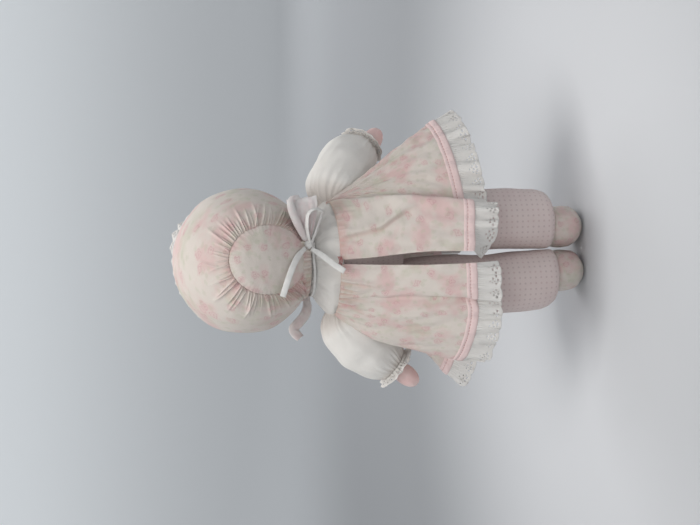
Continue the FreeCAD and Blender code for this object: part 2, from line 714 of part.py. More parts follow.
def build_chin_bow():
    strap_at = (0, -34, "head_height")
    outside = oval_bar("strap_out", 61, 60.8, 10, strap_at)
    inside = oval_bar("strap_in", 60, 59.8, 10, strap_at)
    above = block("strap_above", (-REACH, -REACH, "face_opening_low"), (REACH, REACH, REACH))
    head = head_form("strap_seat", "0.3", "head_seat")
    sub_part("chin_strap", cut("strap", outside, inside, above, head))
    sub_part("chin_knot", ellipsoid("chin_knot_form", 5.5, 4.5, 5, CHIN_KNOT_AT))
    for side, sign in (("left", 1), ("right", -1)):
        at = (sign * 23, CHIN_KNOT_AT[1], 283)
        sub_part(f"chin_loop_{side}", ribbon_loop(f"chin_{side}", 17, 7, "ribbon_width - 2", at, sign * 6))
    ribbon_bar("chin_tail_left", (6, -40, 275), (80, -24, 284), "ribbon_width - 2")
    ribbon_bar("chin_tail_right", (-6, -41, 275), (-48, -37, 276), "ribbon_width - 2")


# ------------------------------------------------------------ build, check and write


def check():
    """Stops if any object failed or any piece is not a valid solid."""
    for obj in doc.Objects:
        if "Invalid" in obj.State or "Error" in obj.State:
            raise RuntimeError(f"{obj.Name} failed: {obj.State}")
    for obj in nodes:
        shape = obj.Shape
        if shape.isNull() or not shape.isValid() or not shape.Solids:
            raise RuntimeError(f"{obj.Label} is not a valid solid")


fill_sheet()
build_torso()
build_bodice()
build_nape_bow()
build_skirt()
for arm_side in ("left", "right"):
    build_arm(arm_side)
    build_leg(arm_side)
build_neck()
build_head()
build_bonnet()
build_chin_bow()
doc.recompute()
check()

os.makedirs("parts", exist_ok=True)
for node in nodes:
    node.Shape.exportStep(f"parts/{node.Label}.step")
print(f"{len(nodes)} pieces written")
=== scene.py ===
import math

import bpy
import numpy as np
from mathutils import Matrix, Vector


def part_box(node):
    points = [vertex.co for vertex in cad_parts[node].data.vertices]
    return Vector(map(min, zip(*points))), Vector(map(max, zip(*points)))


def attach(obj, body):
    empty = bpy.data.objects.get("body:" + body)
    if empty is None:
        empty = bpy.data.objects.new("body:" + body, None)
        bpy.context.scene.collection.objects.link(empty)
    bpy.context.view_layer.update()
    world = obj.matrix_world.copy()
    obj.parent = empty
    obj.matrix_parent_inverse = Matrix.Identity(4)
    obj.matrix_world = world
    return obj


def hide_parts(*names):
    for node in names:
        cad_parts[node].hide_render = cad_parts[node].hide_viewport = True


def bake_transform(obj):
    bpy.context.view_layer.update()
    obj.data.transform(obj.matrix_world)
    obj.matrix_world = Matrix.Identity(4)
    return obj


# The looks of a stuffed rag doll that stands on a pale floor. Lengths are in millimetres up to
# the moment a mesh is made. +Z is up, the doll faces -Y and its left hand is towards +X.

MM = 0.001
SIGNS = {"left": 1, "right": -1}
TURN = 2 * math.pi

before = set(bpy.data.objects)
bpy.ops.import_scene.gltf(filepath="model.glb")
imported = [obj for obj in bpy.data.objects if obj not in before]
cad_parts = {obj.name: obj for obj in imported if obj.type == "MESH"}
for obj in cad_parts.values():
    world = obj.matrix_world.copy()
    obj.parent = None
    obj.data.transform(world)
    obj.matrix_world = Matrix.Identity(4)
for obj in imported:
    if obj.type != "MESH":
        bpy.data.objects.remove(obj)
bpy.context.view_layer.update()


# ------------------------------------------------------------ numbers and curves


def span(node):
    """The lowest corner, the highest corner and the middle of a CAD node."""
    low, high = (np.array(corner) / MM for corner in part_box(node))
    return low, high, (low + high) / 2


def stacked(*parts):
    """Coordinates given one by one, as one array of points."""
    return np.stack(np.broadcast_arrays(*parts), -1)


def circle(count):
    """Turns that go once round, without the last."""
    return np.linspace(0, TURN, count, endpoint=False)


def unit(vectors):
    """The same directions with a length of 1."""
    vectors = np.asarray(vectors, float)
    return vectors / np.maximum(np.linalg.norm(vectors, axis=-1, keepdims=True), 1e-9)


def ease(low, high, value):
    """A smooth step from 0 at low to 1 at high."""
    share = np.clip((np.asarray(value, float) - low) / (high - low), 0, 1)
    return share * share * (3 - 2 * share)


def fade(low, high, value):
    """A smooth step from 1 at low to 0 at high."""
    return 1 - ease(low, high, value)


def bell(away, width):
    """1 where away is 0, falling off smoothly on both sides."""
    return np.exp(-((away / width) ** 2))


WAVES = 8


def wander(points, size, seed):
    """Smooth noise of about -1 to 1 whose bumps are about size across."""
    draw = np.random.default_rng(seed)
    total = 0.0
    for _ in range(WAVES):
        turn = unit(draw.normal(size=points.shape[-1])) * TURN / size * draw.uniform(0.6, 1.5)
        total = total + np.sin(points @ turn + draw.uniform(0, TURN))
    return total / (1.2 * WAVES**0.5)


def through(points, at):
    """The smooth curve through points, at places counted from 0 at the first point."""
    p = np.asarray(points, float)
    p = np.concatenate([2 * p[:1] - p[1:2], p, 2 * p[-1:] - p[-2:-1]])
    start = np.clip(np.floor(at).astype(int), 0, len(p) - 4)
    t = (at - start).reshape((-1,) + (1,) * (p.ndim - 1))
    a, b, c, d = p[start], p[start + 1], p[start + 2], p[start + 3]
    second, third = 2 * a - 5 * b + 4 * c - d, 3 * b - a - 3 * c + d
    return 0.5 * (2 * b + (c - a) * t + second * t**2 + third * t**3)


def curve(points, count):
    """The smooth curve through points, as count points."""
    return through(points, np.linspace(0, len(points) - 1, count))


def along(line):
    """The distance from the start of a line to each of its points."""
    steps = np.linalg.norm(np.diff(line, axis=0), axis=-1)
    return np.concatenate([[0], np.cumsum(steps)])


def sampled(at, far, values):
    """The values, one row for each distance in far, at other distances."""
    return np.stack([np.interp(at, far, column) for column in values.T], -1)


def evened(line, count):
    """The same line with count points at equal distances."""
    far = along(line)
    return sampled(np.linspace(0, far[-1], count), far, line)


def smooth(points, count):
    """The smooth curve through points, as count points at equal distances."""
    return evened(curve(points, count), count)


def sides(line, across):
    """At each point of a line, the unit direction across it and the normal to both."""
    tangent = unit(np.gradient(line, axis=0))
    across = np.asarray(across, float)
    across = unit(across - (across * tangent).sum(-1, keepdims=True) * tangent)
    return across, np.cross(tangent, across)


def normals(grid):
    """Unit normals of a grid of points."""
    return unit(np.cross(np.gradient(grid, axis=1), np.gradient(grid, axis=0)))


def flat_of(grid, closed=False):
    """Each point's place on the flat cloth: its distance across, measured on the longest row,
    and its distance down the columns."""
    ring = np.concatenate([grid, grid[:, :1]], 1) if closed else grid
    steps = np.linalg.norm(np.diff(ring, axis=1), axis=-1)
    widest = steps[steps.sum(1).argmax()]
    across = np.concatenate([[0], np.cumsum(widest)])
    down = np.linalg.norm(np.diff(ring, axis=0), axis=-1).mean(1)
    down = np.concatenate([[0], np.cumsum(down)])
    return stacked(across, down[:, None])


def pleats(across, down, places, lengths, heights, leans, width, spread):
    """Sharp ridges that start at down = 0, each at its place across, lean as they run on, fade
    at their lengths and widen by spread for each mm."""
    total = np.zeros(np.broadcast(across, down).shape)
    for place, length, height, lean in zip(places, lengths, heights, leans):
        wide = width + spread * down
        rise = ease(0, 2.5, down) * fade(0.45 * length, length, down)
        apart = np.abs(across - place - lean * down)
        total = np.maximum(total, height * rise * np.exp(-((apart / wide) ** 1.4)))
    return total


# ------------------------------------------------------------ meshes


def mesh_object(name, points, faces, flat, folds=None):
    """A smooth mesh object from points in mm, four-sided faces and each corner's flat place.
    folds is 0 to 1 for each point, and is 1 deep inside a gather, where the material paints shade."""
    used, faces = np.unique(faces, return_inverse=True)
    faces = faces.reshape(-1, 4)
    mesh = bpy.data.meshes.new(name)
    mesh.from_pydata((points[used] * MM).tolist(), [], faces.tolist())
    mesh.uv_layers.new(name="cloth").data.foreach_set("uv", (flat * MM).ravel())
    # The fold attribute holds painted shade.
    if folds is not None:
        depth = mesh.attributes.new("fold", "FLOAT", "POINT")
        depth.data.foreach_set("value", np.clip(folds.ravel()[used], 0, 1))
    mesh.shade_smooth()
    obj = bpy.data.objects.new(name, mesh)
    bpy.context.scene.collection.objects.link(obj)
    return obj


def panel(name, grid, flat, inside=None, closed=False, keep=None, folds=None):
    """A mesh from rows and columns of points. flat has one more column if it is closed. inside
    is a point that the faces turn their backs to, and keep says which faces stay."""
    rows, columns = grid.shape[:2]
    index = np.arange(rows * columns).reshape(rows, columns)
    if closed:
        index = np.hstack([index, index[:, :1]])
    first, rest = slice(None, -1), slice(1, None)
    corners = [(first, first), (rest, first), (rest, rest), (first, rest)]
    faces = np.stack([index[c] for c in corners], -1).reshape(-1, 4)
    places = np.stack([flat[c] for c in corners], 2).reshape(-1, 4, 2)
    if keep is not None:
        faces, places = faces[keep.ravel()], places[keep.ravel()]
    points = grid.reshape(-1, 3)
    if inside is not None:
        a, b, c = (points[faces[:, k]] for k in (0, 1, 2))
        if (np.cross(b - a, c - a) * (a - np.asarray(inside, float))).sum() < 0:
            faces, places = faces[:, ::-1], places[:, ::-1]
    return mesh_object(name, points, faces, places, folds)


def solid_form(name, rings):
    """A closed form from rings of points, with both ends filled in."""
    ends = [ring.mean(0) * 0.98 + ring * 0.02 for ring in (rings[0], rings[-1])]
    grid = np.concatenate([ends[:1], rings, ends[1:]])
    return panel(name, grid, flat_of(grid, True), rings.mean((0, 1)), closed=True)


def ball(half, rows, columns, end):
    """Points of a ball, flattened to three half widths; end keeps it open at its poles."""
    tilt, turn = np.linspace(end, math.pi - end, rows)[:, None], circle(columns)[None, :]
    return stacked(
        half[0] * np.sin(tilt) * np.cos(turn), half[1] * np.sin(tilt) * np.sin(turn),
        half[2] * np.cos(tilt)
    )


def sweep(name, line, across, profile, taper=None):
    """A closed bar along a line. profile gives distances along across and along the normal."""
    across, normal = sides(line, across)
    scale = np.ones(len(line)) if taper is None else taper
    profile = np.asarray(profile, float)
    offset = across[:, None] * profile[None, :, :1] + normal[:, None] * profile[None, :, 1:]
    grid = line[:, None] + offset * scale[:, None, None]
    ends = [line[:1, None] + offset[:1] * 0.03, line[-1:, None] + offset[-1:] * 0.03]
    grid = np.concatenate([ends[0], grid, ends[1]])
    return panel(name, grid, flat_of(grid, True), line.mean(0), closed=True)


def oval(half_wide, half_thick, count):
    """Points round a flattened section."""
    turn = np.arange(count) * TURN / count
    return stacked(half_wide * np.cos(turn), half_thick * np.sin(turn))


def ribbon(name, line, across, widths, dish, crinkle, seed, columns=11):
    """A flat strip along a line, dished across its width and crinkled along it."""
    across, normal = sides(line, across)
    side = np.linspace(-0.5, 0.5, columns)
    offset = side[None, :, None] * np.asarray(widths, float)[:, None, None] * across[:, None]
    far = along(line)
    flat = stacked(side[None, :] * np.max(widths), far[:, None])
    lift = dish * (4 * side[None, :] ** 2 - 0.5) + crinkle * wander(flat, 7, seed)
    return panel(name, line[:, None] + offset + lift[..., None] * normal[:, None], flat)


def stitches(name, line, normal, length, gap, half_thick):
    """A row of sewn stitches that lie on a line of points."""
    far = along(line)
    count = max(1, int(far[-1] // (length + gap)))
    starts = (np.arange(count) + 0.5) * far[-1] / count - length / 2
    shape = np.array([0.15, 0.8, 1.0, 0.8, 0.15])
    steps = np.linspace(0, length, len(shape))
    points, faces, flat = [], [], []
    ring = oval(half_thick, half_thick, 6)
    for number, start in enumerate(starts):
        at, out = (sampled(start + steps, far, values) for values in (line, normal))
        out = unit(out)
        side = unit(np.cross(np.gradient(at, axis=0), out))
        offset = ring[None, :, :1] * side[:, None] + ring[None, :, 1:] * out[:, None]
        points.append((at[:, None] + offset * shape[:, None, None]).reshape(-1, 3))
        index = np.arange(len(shape) * 6).reshape(len(shape), 6) + number * len(shape) * 6
        index = np.hstack([index, index[:, :1]])
        quads = stacked(index[:-1, :-1], index[1:, :-1], index[1:, 1:], index[:-1, 1:])
        faces.append(quads.reshape(-1, 4))
        flat.append(np.zeros((len(faces[-1]), 4, 2)) + start)
    return mesh_object(name, np.concatenate(points), np.concatenate(faces), np.concatenate(flat))


# How thick each cloth looks with its soft edges, in mm.
PRINT, COTTON, LAWN, CASING, LACE, SATIN, TWILL = 0.9, 0.8, 0.7, 0.6, 0.4, 0.4, 0.7


def thicken(obj, thickness, offset=-1.0):
    """Gives a sheet its cloth's thickness, in mm."""
    solid = obj.modifiers.new("cloth", "SOLIDIFY")
    solid.thickness = thickness * MM
    solid.offset = offset
    return obj


def soften(obj):
    """Subdivides a mesh once it is final."""
    fine = obj.modifiers.new("smooth", "SUBSURF")
    fine.levels = fine.render_levels = 1
    return obj


def dressed(obj, slot, nodes=(), body=None):
    """Gives a piece the material named by slot, hides the CAD parts that it stands for and hangs it
    on the body it rides on.
    """
    obj.data.materials.append(LOOKS[slot])
    if nodes:
        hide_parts(*nodes)
    if body:
        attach(obj, body)
    return obj


def points_of(obj):
    """A mesh's points in mm."""
    found = np.zeros(len(obj.data.vertices) * 3)
    obj.data.vertices.foreach_get("co", found)
    return found.reshape(-1, 3) / MM


def set_points(obj, points):
    """Moves a mesh's points to places in mm."""
    obj.data.vertices.foreach_set("co", (points * MM).ravel())
    obj.data.update()


def wrap_flat(obj, mapping, period=None):
    """Writes the UV map of a closed mesh from a function of its points; where the first number
    jumps by a period, the corners of a face are brought together again."""
    mesh = obj.data
    places = mapping(points_of(obj))
    corner = np.zeros(len(mesh.loops), int)
    mesh.loops.foreach_get("vertex_index", corner)
    found = places[corner]
    if period:
        starts = np.zeros(len(mesh.polygons), int)
        totals = np.zeros(len(mesh.polygons), int)
        mesh.polygons.foreach_get("loop_start", starts)
        mesh.polygons.foreach_get("loop_total", totals)
        first = np.repeat(found[starts, 0], totals)
        order = np.argsort(np.repeat(starts, totals), kind="stable")
        first = first[order]
        found[:, 0] -= np.round((found[:, 0] - first) / period) * period
    layer = mesh.uv_layers.get("cloth") or mesh.uv_layers.new(name="cloth")
    layer.data.foreach_set("uv", (found * MM).ravel())


def wrap_round(obj, period, centre=(0, 0), shrink=(1, 1), start=(0, 0)):
    """Writes the UV map of a form that stands round an upright line through centre, period mm
    round. shrink squeezes its depth and its height first."""

    def places(p):
        turn = np.arctan2(p[:, 0] - centre[0], (p[:, 1] - centre[1]) * shrink[0])
        return stacked(turn / TURN * period, p[:, 2] * shrink[1]) + start

    wrap_flat(obj, places, period)


def apply_modifiers(obj):
    """Turns what the modifiers make into the object's own mesh."""
    graph = bpy.context.evaluated_depsgraph_get()
    made = bpy.data.meshes.new_from_object(obj.evaluated_get(graph))
    obj.modifiers.clear()
    obj.data = made
    made.name = obj.name


STUFFING = {
    "quality": 6, "mass": 0.2, "tension_stiffness": 12, "compression_stiffness": 12,
    "bending_stiffness": 0.4, "use_pressure": True, "uniform_pressure_force": 4.0
}
STUFFING_FRAMES = 20


def stuffed(obj, voxel, cap, pinned=None):
    """Fills a closed form like a stuffed cloth skin: it is remeshed, blown up by a cloth
    simulation, and no point moves further than cap. pinned picks the points that hold still."""
    remesh = obj.modifiers.new("remesh", "REMESH")
    remesh.mode = "VOXEL"
    remesh.voxel_size = voxel * MM
    apply_modifiers(obj)
    before = points_of(obj)
    if pinned is not None:
        group = obj.vertex_groups.new(name="pinned")
        group.add(np.flatnonzero(pinned(before)).tolist(), 1.0, "REPLACE")
    cloth = obj.modifiers.new("cloth", "CLOTH")
    for key, value in STUFFING.items():
        setattr(cloth.settings, key, value)
    cloth.settings.effector_weights.gravity = 0
    cloth.collision_settings.use_collision = False
    if pinned is not None:
        cloth.settings.vertex_group_mass = "pinned"
    scene = bpy.context.scene
    for number in range(1, STUFFING_FRAMES + 1):
        scene.frame_set(number)
    apply_modifiers(obj)
    scene.frame_set(1)
    moved = points_of(obj) - before
    far = np.linalg.norm(moved, axis=1, keepdims=True)
    set_points(obj, before + moved * np.minimum(1, cap / np.maximum(far, 1e-6)))
    obj.vertex_groups.clear()
    obj.data.shade_smooth()


# ------------------------------------------------------------ materials


class Look:
    """A procedural material, built node by node. Places on the cloth are in millimetres."""

    def __init__(self, name, roughness=0.9, sheen=0.15, specular=0.25):
        self.material = bpy.data.materials.new(name)
        self.material.use_nodes = True
        self.nodes = self.material.node_tree.nodes
        self.links = self.material.node_tree.links
        self.shader = self.nodes["Principled BSDF"]
        self.shader.inputs["Roughness"].default_value = roughness
        self.shader.inputs["Sheen Weight"].default_value = sheen
        self.shader.inputs["Sheen Roughness"].default_value = 0.5
        self.shader.inputs["Specular IOR Level"].default_value = specular
        cloth = self.node("UVMap", {}, uv_map="cloth").outputs["UV"]
        self.cloth = self.scaled(cloth, 1 / MM)
        # How much painted shade each point gets: 1 deep inside a gather.
        self.fold = self.node("Attribute", {}, attribute_name="fold").outputs["Fac"]

    def node(self, kind, inputs, **settings):
        made = self.nodes.new("ShaderNode" + kind)
        for key, value in settings.items():
            setattr(made, key, value)
        for key, value in inputs.items():
            if isinstance(value, bpy.types.NodeSocket):
                self.links.new(value, made.inputs[key])
            else:
                made.inputs[key].default_value = value
        return made

    def scaled(self, vector, scale):
        return self.node("VectorMath", {0: vector, "Scale": scale}, operation="SCALE").outputs[0]

    def moved(self, vector, offset):
        return self.node("VectorMath", {0: vector, 1: offset}, operation="ADD").outputs[0]

    def times(self, a, b):
        return self.node("Math", {0: a, 1: b}, operation="MULTIPLY").outputs[0]

    def plus(self, a, b):
        return self.node("Math", {0: a, 1: b}, operation="ADD").outputs[0]

    def step(self, value, low, high, top=1.0):
        """A smooth step of a value, from 0 at low to top at high."""
        inputs = {"Value": value, "From Min": low, "From Max": high, "To Max": top}
        return self.node("MapRange", inputs, interpolation_type="SMOOTHSTEP").outputs[0]

    def mixed(self, share, first, second):
        inputs = {0: share}
        for key, value in ((6, first), (7, second)):
            inputs[key] = value if isinstance(value, bpy.types.NodeSocket) else (*value, 1)
        return self.node("Mix", inputs, data_type="RGBA").outputs[2]

    def noise(self, size, seed=0.0, detail=2.0, where=None):
        place = self.moved(where or self.cloth, (37.0 * seed, 91.0 * seed, 13.0 * seed))
        inputs = {"Vector": place, "Scale": 1 / size, "Detail": detail}
        return self.node("TexNoise", inputs).outputs[0]

    def cells(self, size, seed=0.0, where=None):
        place = self.moved(where or self.cloth, (53.0 * seed, 29.0 * seed, 0.0))
        inputs = {"Vector": place, "Scale": 1 / size}
        return self.node("TexVoronoi", inputs, voronoi_dimensions="2D")

    def waves(self, period, direction):
        scale = TURN / 20 / period
        inputs = {"Vector": self.cloth, "Scale": scale}
        return self.node("TexWave", inputs, bands_direction=direction).outputs["Fac"]

    def finish(self, colour, height, depth):
        """Joins the colour and a height of 0 to 1, depth mm deep, to the shader."""
        bump = self.node("Bump", {"Height": height, "Strength": 1.0, "Distance": depth * MM})
        self.links.new(bump.outputs[0], self.shader.inputs["Normal"])
        self.links.new(colour, self.shader.inputs["Base Color"])
        return self.material

    def threads(self, period):
        """The height of a plain weave, warp over weft."""
        return self.times(self.waves(period, "X"), self.waves(period, "Y"))

    def woven(self, colour, period=0.5, depth=0.12, crease=0.35, shade_colour=(0.55, 0.47, 0.42)):
        """Finishes a plain cotton: weave, slubs, soft creases, a little dirt, and painted
        shade inside its gathers."""
        dull = self.step(self.noise(9, 1, 3), 0.3, 0.75, 0.07)
        colour = self.mixed(dull, colour, (0.66, 0.59, 0.54))
        # Painted shade: deep inside gathers the colour turns towards the shade colour.
        colour = self.mixed(self.times(self.fold, 0.75), colour, shade_colour)
        creases = self.times(self.noise(5, 2, 3), crease / max(depth, 0.01))
        slubs = self.times(self.noise(1.2, 3, 1), 0.8)
        height = self.plus(self.plus(self.threads(period), creases), slubs)
        return self.finish(colour, height, depth)


CREAM = (0.67, 0.605, 0.55)
WHITE = (0.775, 0.745, 0.705)
PINK = (0.66, 0.405, 0.40)
ROSE = (0.50, 0.20, 0.245)
LEAF = (0.44, 0.46, 0.32)
# The next colour is painted shade, the colour that cloth turns deep inside its gathers.
GATHER_SHADE = (0.55, 0.27, 0.22)


def plain_cotton(name, colour, **weave):
    """Plain weave, a little deeper in soft patches."""
    look = Look(name)
    patches = look.step(look.noise(14, 4), 0.35, 0.7, 0.5)
    return look.woven(look.mixed(patches, colour, [0.95 * c for c in colour]), **weave)


def rose_print(name):
    """Cream cotton with washed-out pink roses, pink clouds and pale green leaves."""
    look = Look(name)
    bent = look.node(
        "TexNoise", {"Vector": look.cloth, "Scale": 0.2, "Detail": 3.0}
    ).outputs["Color"]
    where = look.moved(look.cloth, look.scaled(bent, 5.0))
    cloud = look.step(look.noise(30, 5, 3, where), 0.45, 0.66, 0.60)
    colour = look.mixed(cloud, CREAM, PINK)
    moss = look.step(look.noise(22, 6, 3, where), 0.52, 0.70, 0.32)
    colour = look.mixed(moss, colour, LEAF)
    rose = look.cells(15, 7, where)
    there = look.step(rose.outputs["Color"], 0.30, 0.40)
    ragged = look.plus(rose.outputs["Distance"], look.times(look.noise(3.2, 8, 3), 0.42))
    bloom = look.times(look.step(ragged, 0.58, 0.34), there)
    colour = look.mixed(look.times(bloom, 0.30), colour, PINK)
    swirl = look.plus(look.times(ragged, 42.0), look.times(look.noise(5, 9), 9.0))
    petals = look.times(
        look.step(look.node("Math", {0: swirl}, operation="SINE").outputs[0], 0.1, 0.9), bloom
    )
    colour = look.mixed(look.times(petals, 0.40), colour, ROSE)
    leaf = look.cells(10, 10, where)
    spray = look.plus(leaf.outputs["Distance"], look.times(look.noise(2.5, 11), 0.35))
    spot = look.step(spray, 0.46, 0.26, 0.24)
    return look.woven(look.mixed(spot, colour, LEAF), shade_colour=GATHER_SHADE)


def pin_dots(name):
    """Pale pink cotton with rows of small grey-pink dots."""
    look = Look(name)
    pitch, radius = 5.5, 1.0
    cell = look.node("VectorMath", {0: look.scaled(look.cloth, 1 / pitch)}, operation="FRACTION")
    away = look.node("VectorMath", {0: cell.outputs[0], 1: (0.5, 0.5, 0.0)}, operation="DISTANCE")
    dot = look.step(away.outputs["Value"], 1.3 * radius / pitch, 0.65 * radius / pitch, 0.42)
    base = look.mixed(
        look.step(look.noise(20, 4), 0.35, 0.7), (0.72, 0.61, 0.585), (0.695, 0.575, 0.555)
    )
    ink = look.mixed(look.step(look.noise(9, 5), 0.4, 0.6), (0.42, 0.31, 0.32), (0.52, 0.33, 0.33))
    return look.woven(look.mixed(dot, base, ink), shade_colour=GATHER_SHADE)


def satin(name):
    """Thin pale pink ribbon with a soft shine."""
    look = Look(name, roughness=0.42, sheen=0.3, specular=0.5)
    colour = look.mixed(
        look.step(look.noise(9, 1), 0.35, 0.7), (0.82, 0.77, 0.75), (0.80, 0.69, 0.68)
    )
    # Painted shade: the ribbon turns deeper pink where the fold attribute marks its creases.
    colour = look.mixed(look.times(look.fold, 0.8), colour, (0.72, 0.46, 0.45))
    ribs = look.times(look.waves(0.35, "Y"), 0.5)
    return look.finish(colour, look.plus(ribs, look.noise(4, 2, 3)), 0.3)


def twill(name):
    """White tape with slanting ridges and a firm edge."""
    look = Look(name)
    slanted = look.plus(look.waves(0.9, "DIAGONAL"), look.noise(1, 1))
    colour = look.mixed(
        look.step(look.noise(5, 2), 0.3, 0.7), (0.77, 0.755, 0.73), (0.70, 0.685, 0.66)
    )
    return look.finish(colour, slanted, 0.16)


def thread(name, colour):
    """Embroidery cotton: fine ridges that catch the light."""
    look = Look(name, roughness=0.55, sheen=0.2, specular=0.4)
    lines = look.plus(look.waves(0.5, "X"), look.noise(0.8, 1))
    return look.finish(look.mixed(look.noise(2, 2), colour, [0.7 * c for c in colour]), lines, 0.18)


def skin(name):
    """Pink cotton knit for the head and hands, a little blushed in patches."""
    look = Look(name)
    blush = look.step(look.noise(18, 4), 0.40, 0.68, 0.6)
    return look.woven(look.mixed(blush, (0.80, 0.595, 0.56), (0.78, 0.50, 0.48)), crease=0.2)


LOOKS = {
    "floral_cotton": rose_print("rose_print"),
    "white_cotton": plain_cotton("white_cotton", WHITE),
    "pin_dot_cotton": pin_dots("pin_dots"),
    "skin_cotton": skin("skin_cotton"),
    "eyelet_lace": plain_cotton("eyelet_lace", (0.735, 0.71, 0.68), depth=0.16, crease=0.2),
    "pink_binding": plain_cotton("pink_binding", (0.775, 0.60, 0.585), depth=0.14),
    "satin_ribbon": satin("satin_ribbon"),
    "twill_tape": twill("twill_tape"),
    "eye_thread": thread("eye_thread", (0.10, 0.06, 0.045)),
    "mouth_thread": thread("mouth_thread", (0.50, 0.15, 0.14)),
}


# ------------------------------------------------------------ eyelet lace

# The lace repeats every scallop. Each hole is given by its place beside the scallop's middle, its
# height above the free edge and its radius.
SCALLOP = 16.0
EYELETS = [
    (-4.6, 5.4, 1.05), (-1.6, 3.9, 1.05), (1.6, 3.9, 1.05), (4.6, 5.4, 1.05), (-2.6, 8.4, 1.0),
    (2.6, 8.4, 1.0), (0, 6.9, 0.9), (0, 11.4, 0.9)
]


def from_hole(place, width, hole):
    """How far places on the flat lace are from the middle of the nearest copy of a hole."""
    sideways, up = hole[:2]
    middle = (np.floor(place[..., 0] / SCALLOP) + 0.5) * SCALLOP + sideways
    return np.hypot(place[..., 0] - middle, place[..., 1] - (width - up))


def lace_flat(length, width, cell):
    """A flat strip of eyelet lace as a grid of places and the faces that stay. Its free edge is
    scalloped, and the places beside each hole are moved onto the hole's edge."""
    columns, rows = max(4, round(length / cell)), max(4, round(width / cell))
    u, share = np.meshgrid(np.linspace(0, length, columns + 1), np.linspace(0, 1, rows + 1))
    dip = 1.9 * (1 - np.abs(np.sin(math.pi * u / SCALLOP))) ** 1.5
    place = stacked(u, share * (width - dip))
    holes = [hole for hole in EYELETS if hole[1] < width - 3]
    middle = (np.floor(place[..., 0] / SCALLOP) + 0.5) * SCALLOP
    for sideways, up, radius in holes:
        centre = stacked(middle + sideways, np.full_like(middle, width - up))
        away = place - centre
        far = np.linalg.norm(away, axis=-1, keepdims=True)
        near = np.abs(far - radius) < 0.5 * cell
        place = np.where(near, centre + away / np.maximum(far, 1e-6) * radius, place)
    face = (place[:-1, :-1] + place[1:, :-1] + place[1:, 1:] + place[:-1, 1:]) / 4
    keep = np.all([from_hole(face, width, hole) > 0.82 * hole[2] for hole in holes], axis=0)
    return place, keep, holes


def frill(name, edge, down, out, width, gather, ripple, wave, seed, cell=0.75):
    """Gathered eyelet lace sewn along an edge. down and out say, for each point of the edge,
    which way the lace hangs and which way it ripples."""
    far = along(edge)
    length = far[-1] * gather
    flat, keep, holes = lace_flat(length, width, cell)
    at = flat[..., 0] / gather
    place, fall, away = (sampled(at, far, values) for values in (edge, down, out))
    fall, away = unit(fall), unit(away)
    side = unit(np.cross(fall, away))
    below = flat[..., 1]
    share = below / width
    phase = TURN * flat[..., 0] / wave + 1.6 * wander(flat[..., :1], 4 * wave, seed)
    size = 0.65 + 0.45 * wander(flat[..., :1], 2.5 * wave, seed + 1)
    fine = 0.5 * np.sin(TURN * flat[..., 0] / 3.1 + 2 * wander(flat[..., :1], 20, seed + 2))
    lift = ripple * size * share**0.8 * np.sin(phase)
    lift += fine * ease(0, 1.5, below) * fade(3, 12, below)
    shift = 0.55 * ripple * size * share * np.sin(2 * phase)
    sewn = [from_hole(flat, width, hole) - hole[2] - 0.45 for hole in holes]
    lift += 0.22 * sum(bell(far, 0.4) for far in sewn)
    drop = below * (1 - 0.03 * np.abs(size * np.sin(phase)))
    grid = place + fall * drop[..., None] + away * lift[..., None] + side * shift[..., None]
    return panel(name, grid, flat, keep=keep)


# ------------------------------------------------------------ bonnet

BONNET_AT = np.array([0, 0, 347.0])
BONNET_HALF = np.array([70.5, 66.0, 68.5])
BACK_PIECE = (33.5, 39.0, 327.0)
FACE_PLANE = -22.0
BAND_LOW = 297.0
NECK_OPENING = 38.0


def bonnet_direction(x=None, y=None, z=None):
    """The unit direction, in the bonnet's own stretched space, of a point on its surface whose
    other coordinate is missing; a missing y is at the back and a missing z at the bottom."""
    given = [
        None if v is None else (np.asarray(v, float) - c) / h for v, c,
        h in zip((x, y, z), BONNET_AT, BONNET_HALF)
    ]
    left = np.sqrt(np.clip(1 - sum(g**2 for g in given if g is not None), 0, 1))
    if y is None:
        given[1] = left
    elif z is None:
        given[2] = -left
    return stacked(*given)


def bonnet_edges(turn):
    """The directions of the crown's inner edge, on the back piece, and of its outer edge, on
    the face band and the neck opening, for turns from the top of the head."""
    wide, tall, height = BACK_PIECE
    inner = bonnet_direction(x=wide * np.sin(turn), z=height + tall * np.cos(turn))
    band_turn, band_end = math.radians(112), math.radians(140)
    reach = math.sqrt(1 - (FACE_PLANE / BONNET_HALF[1]) ** 2)
    swing = np.clip(turn, -band_turn, band_turn) * band_end / band_turn
    band = stacked(
        reach * np.sin(swing), np.full_like(swing, FACE_PLANE / BONNET_HALF[1]),
        reach * np.cos(swing)
    )
    share = np.clip((np.abs(turn) - band_turn) / (math.radians(154) - band_turn), 0, 1)
    ring = np.radians(125 - 103 * share)
    radius = NECK_OPENING + 4 * (1 - share)
    neck = bonnet_direction(x=np.sign(turn) * radius * np.sin(ring), y=radius * np.cos(ring))
    low = ease(0, 0.12, share)[:, None]
    return inner, unit(band * (1 - low) + neck * low)


def on_bonnet(direction):
    """Points of the smooth bonnet in a direction, and its normals there."""
    return BONNET_AT + direction * BONNET_HALF, unit(direction / BONNET_HALF)


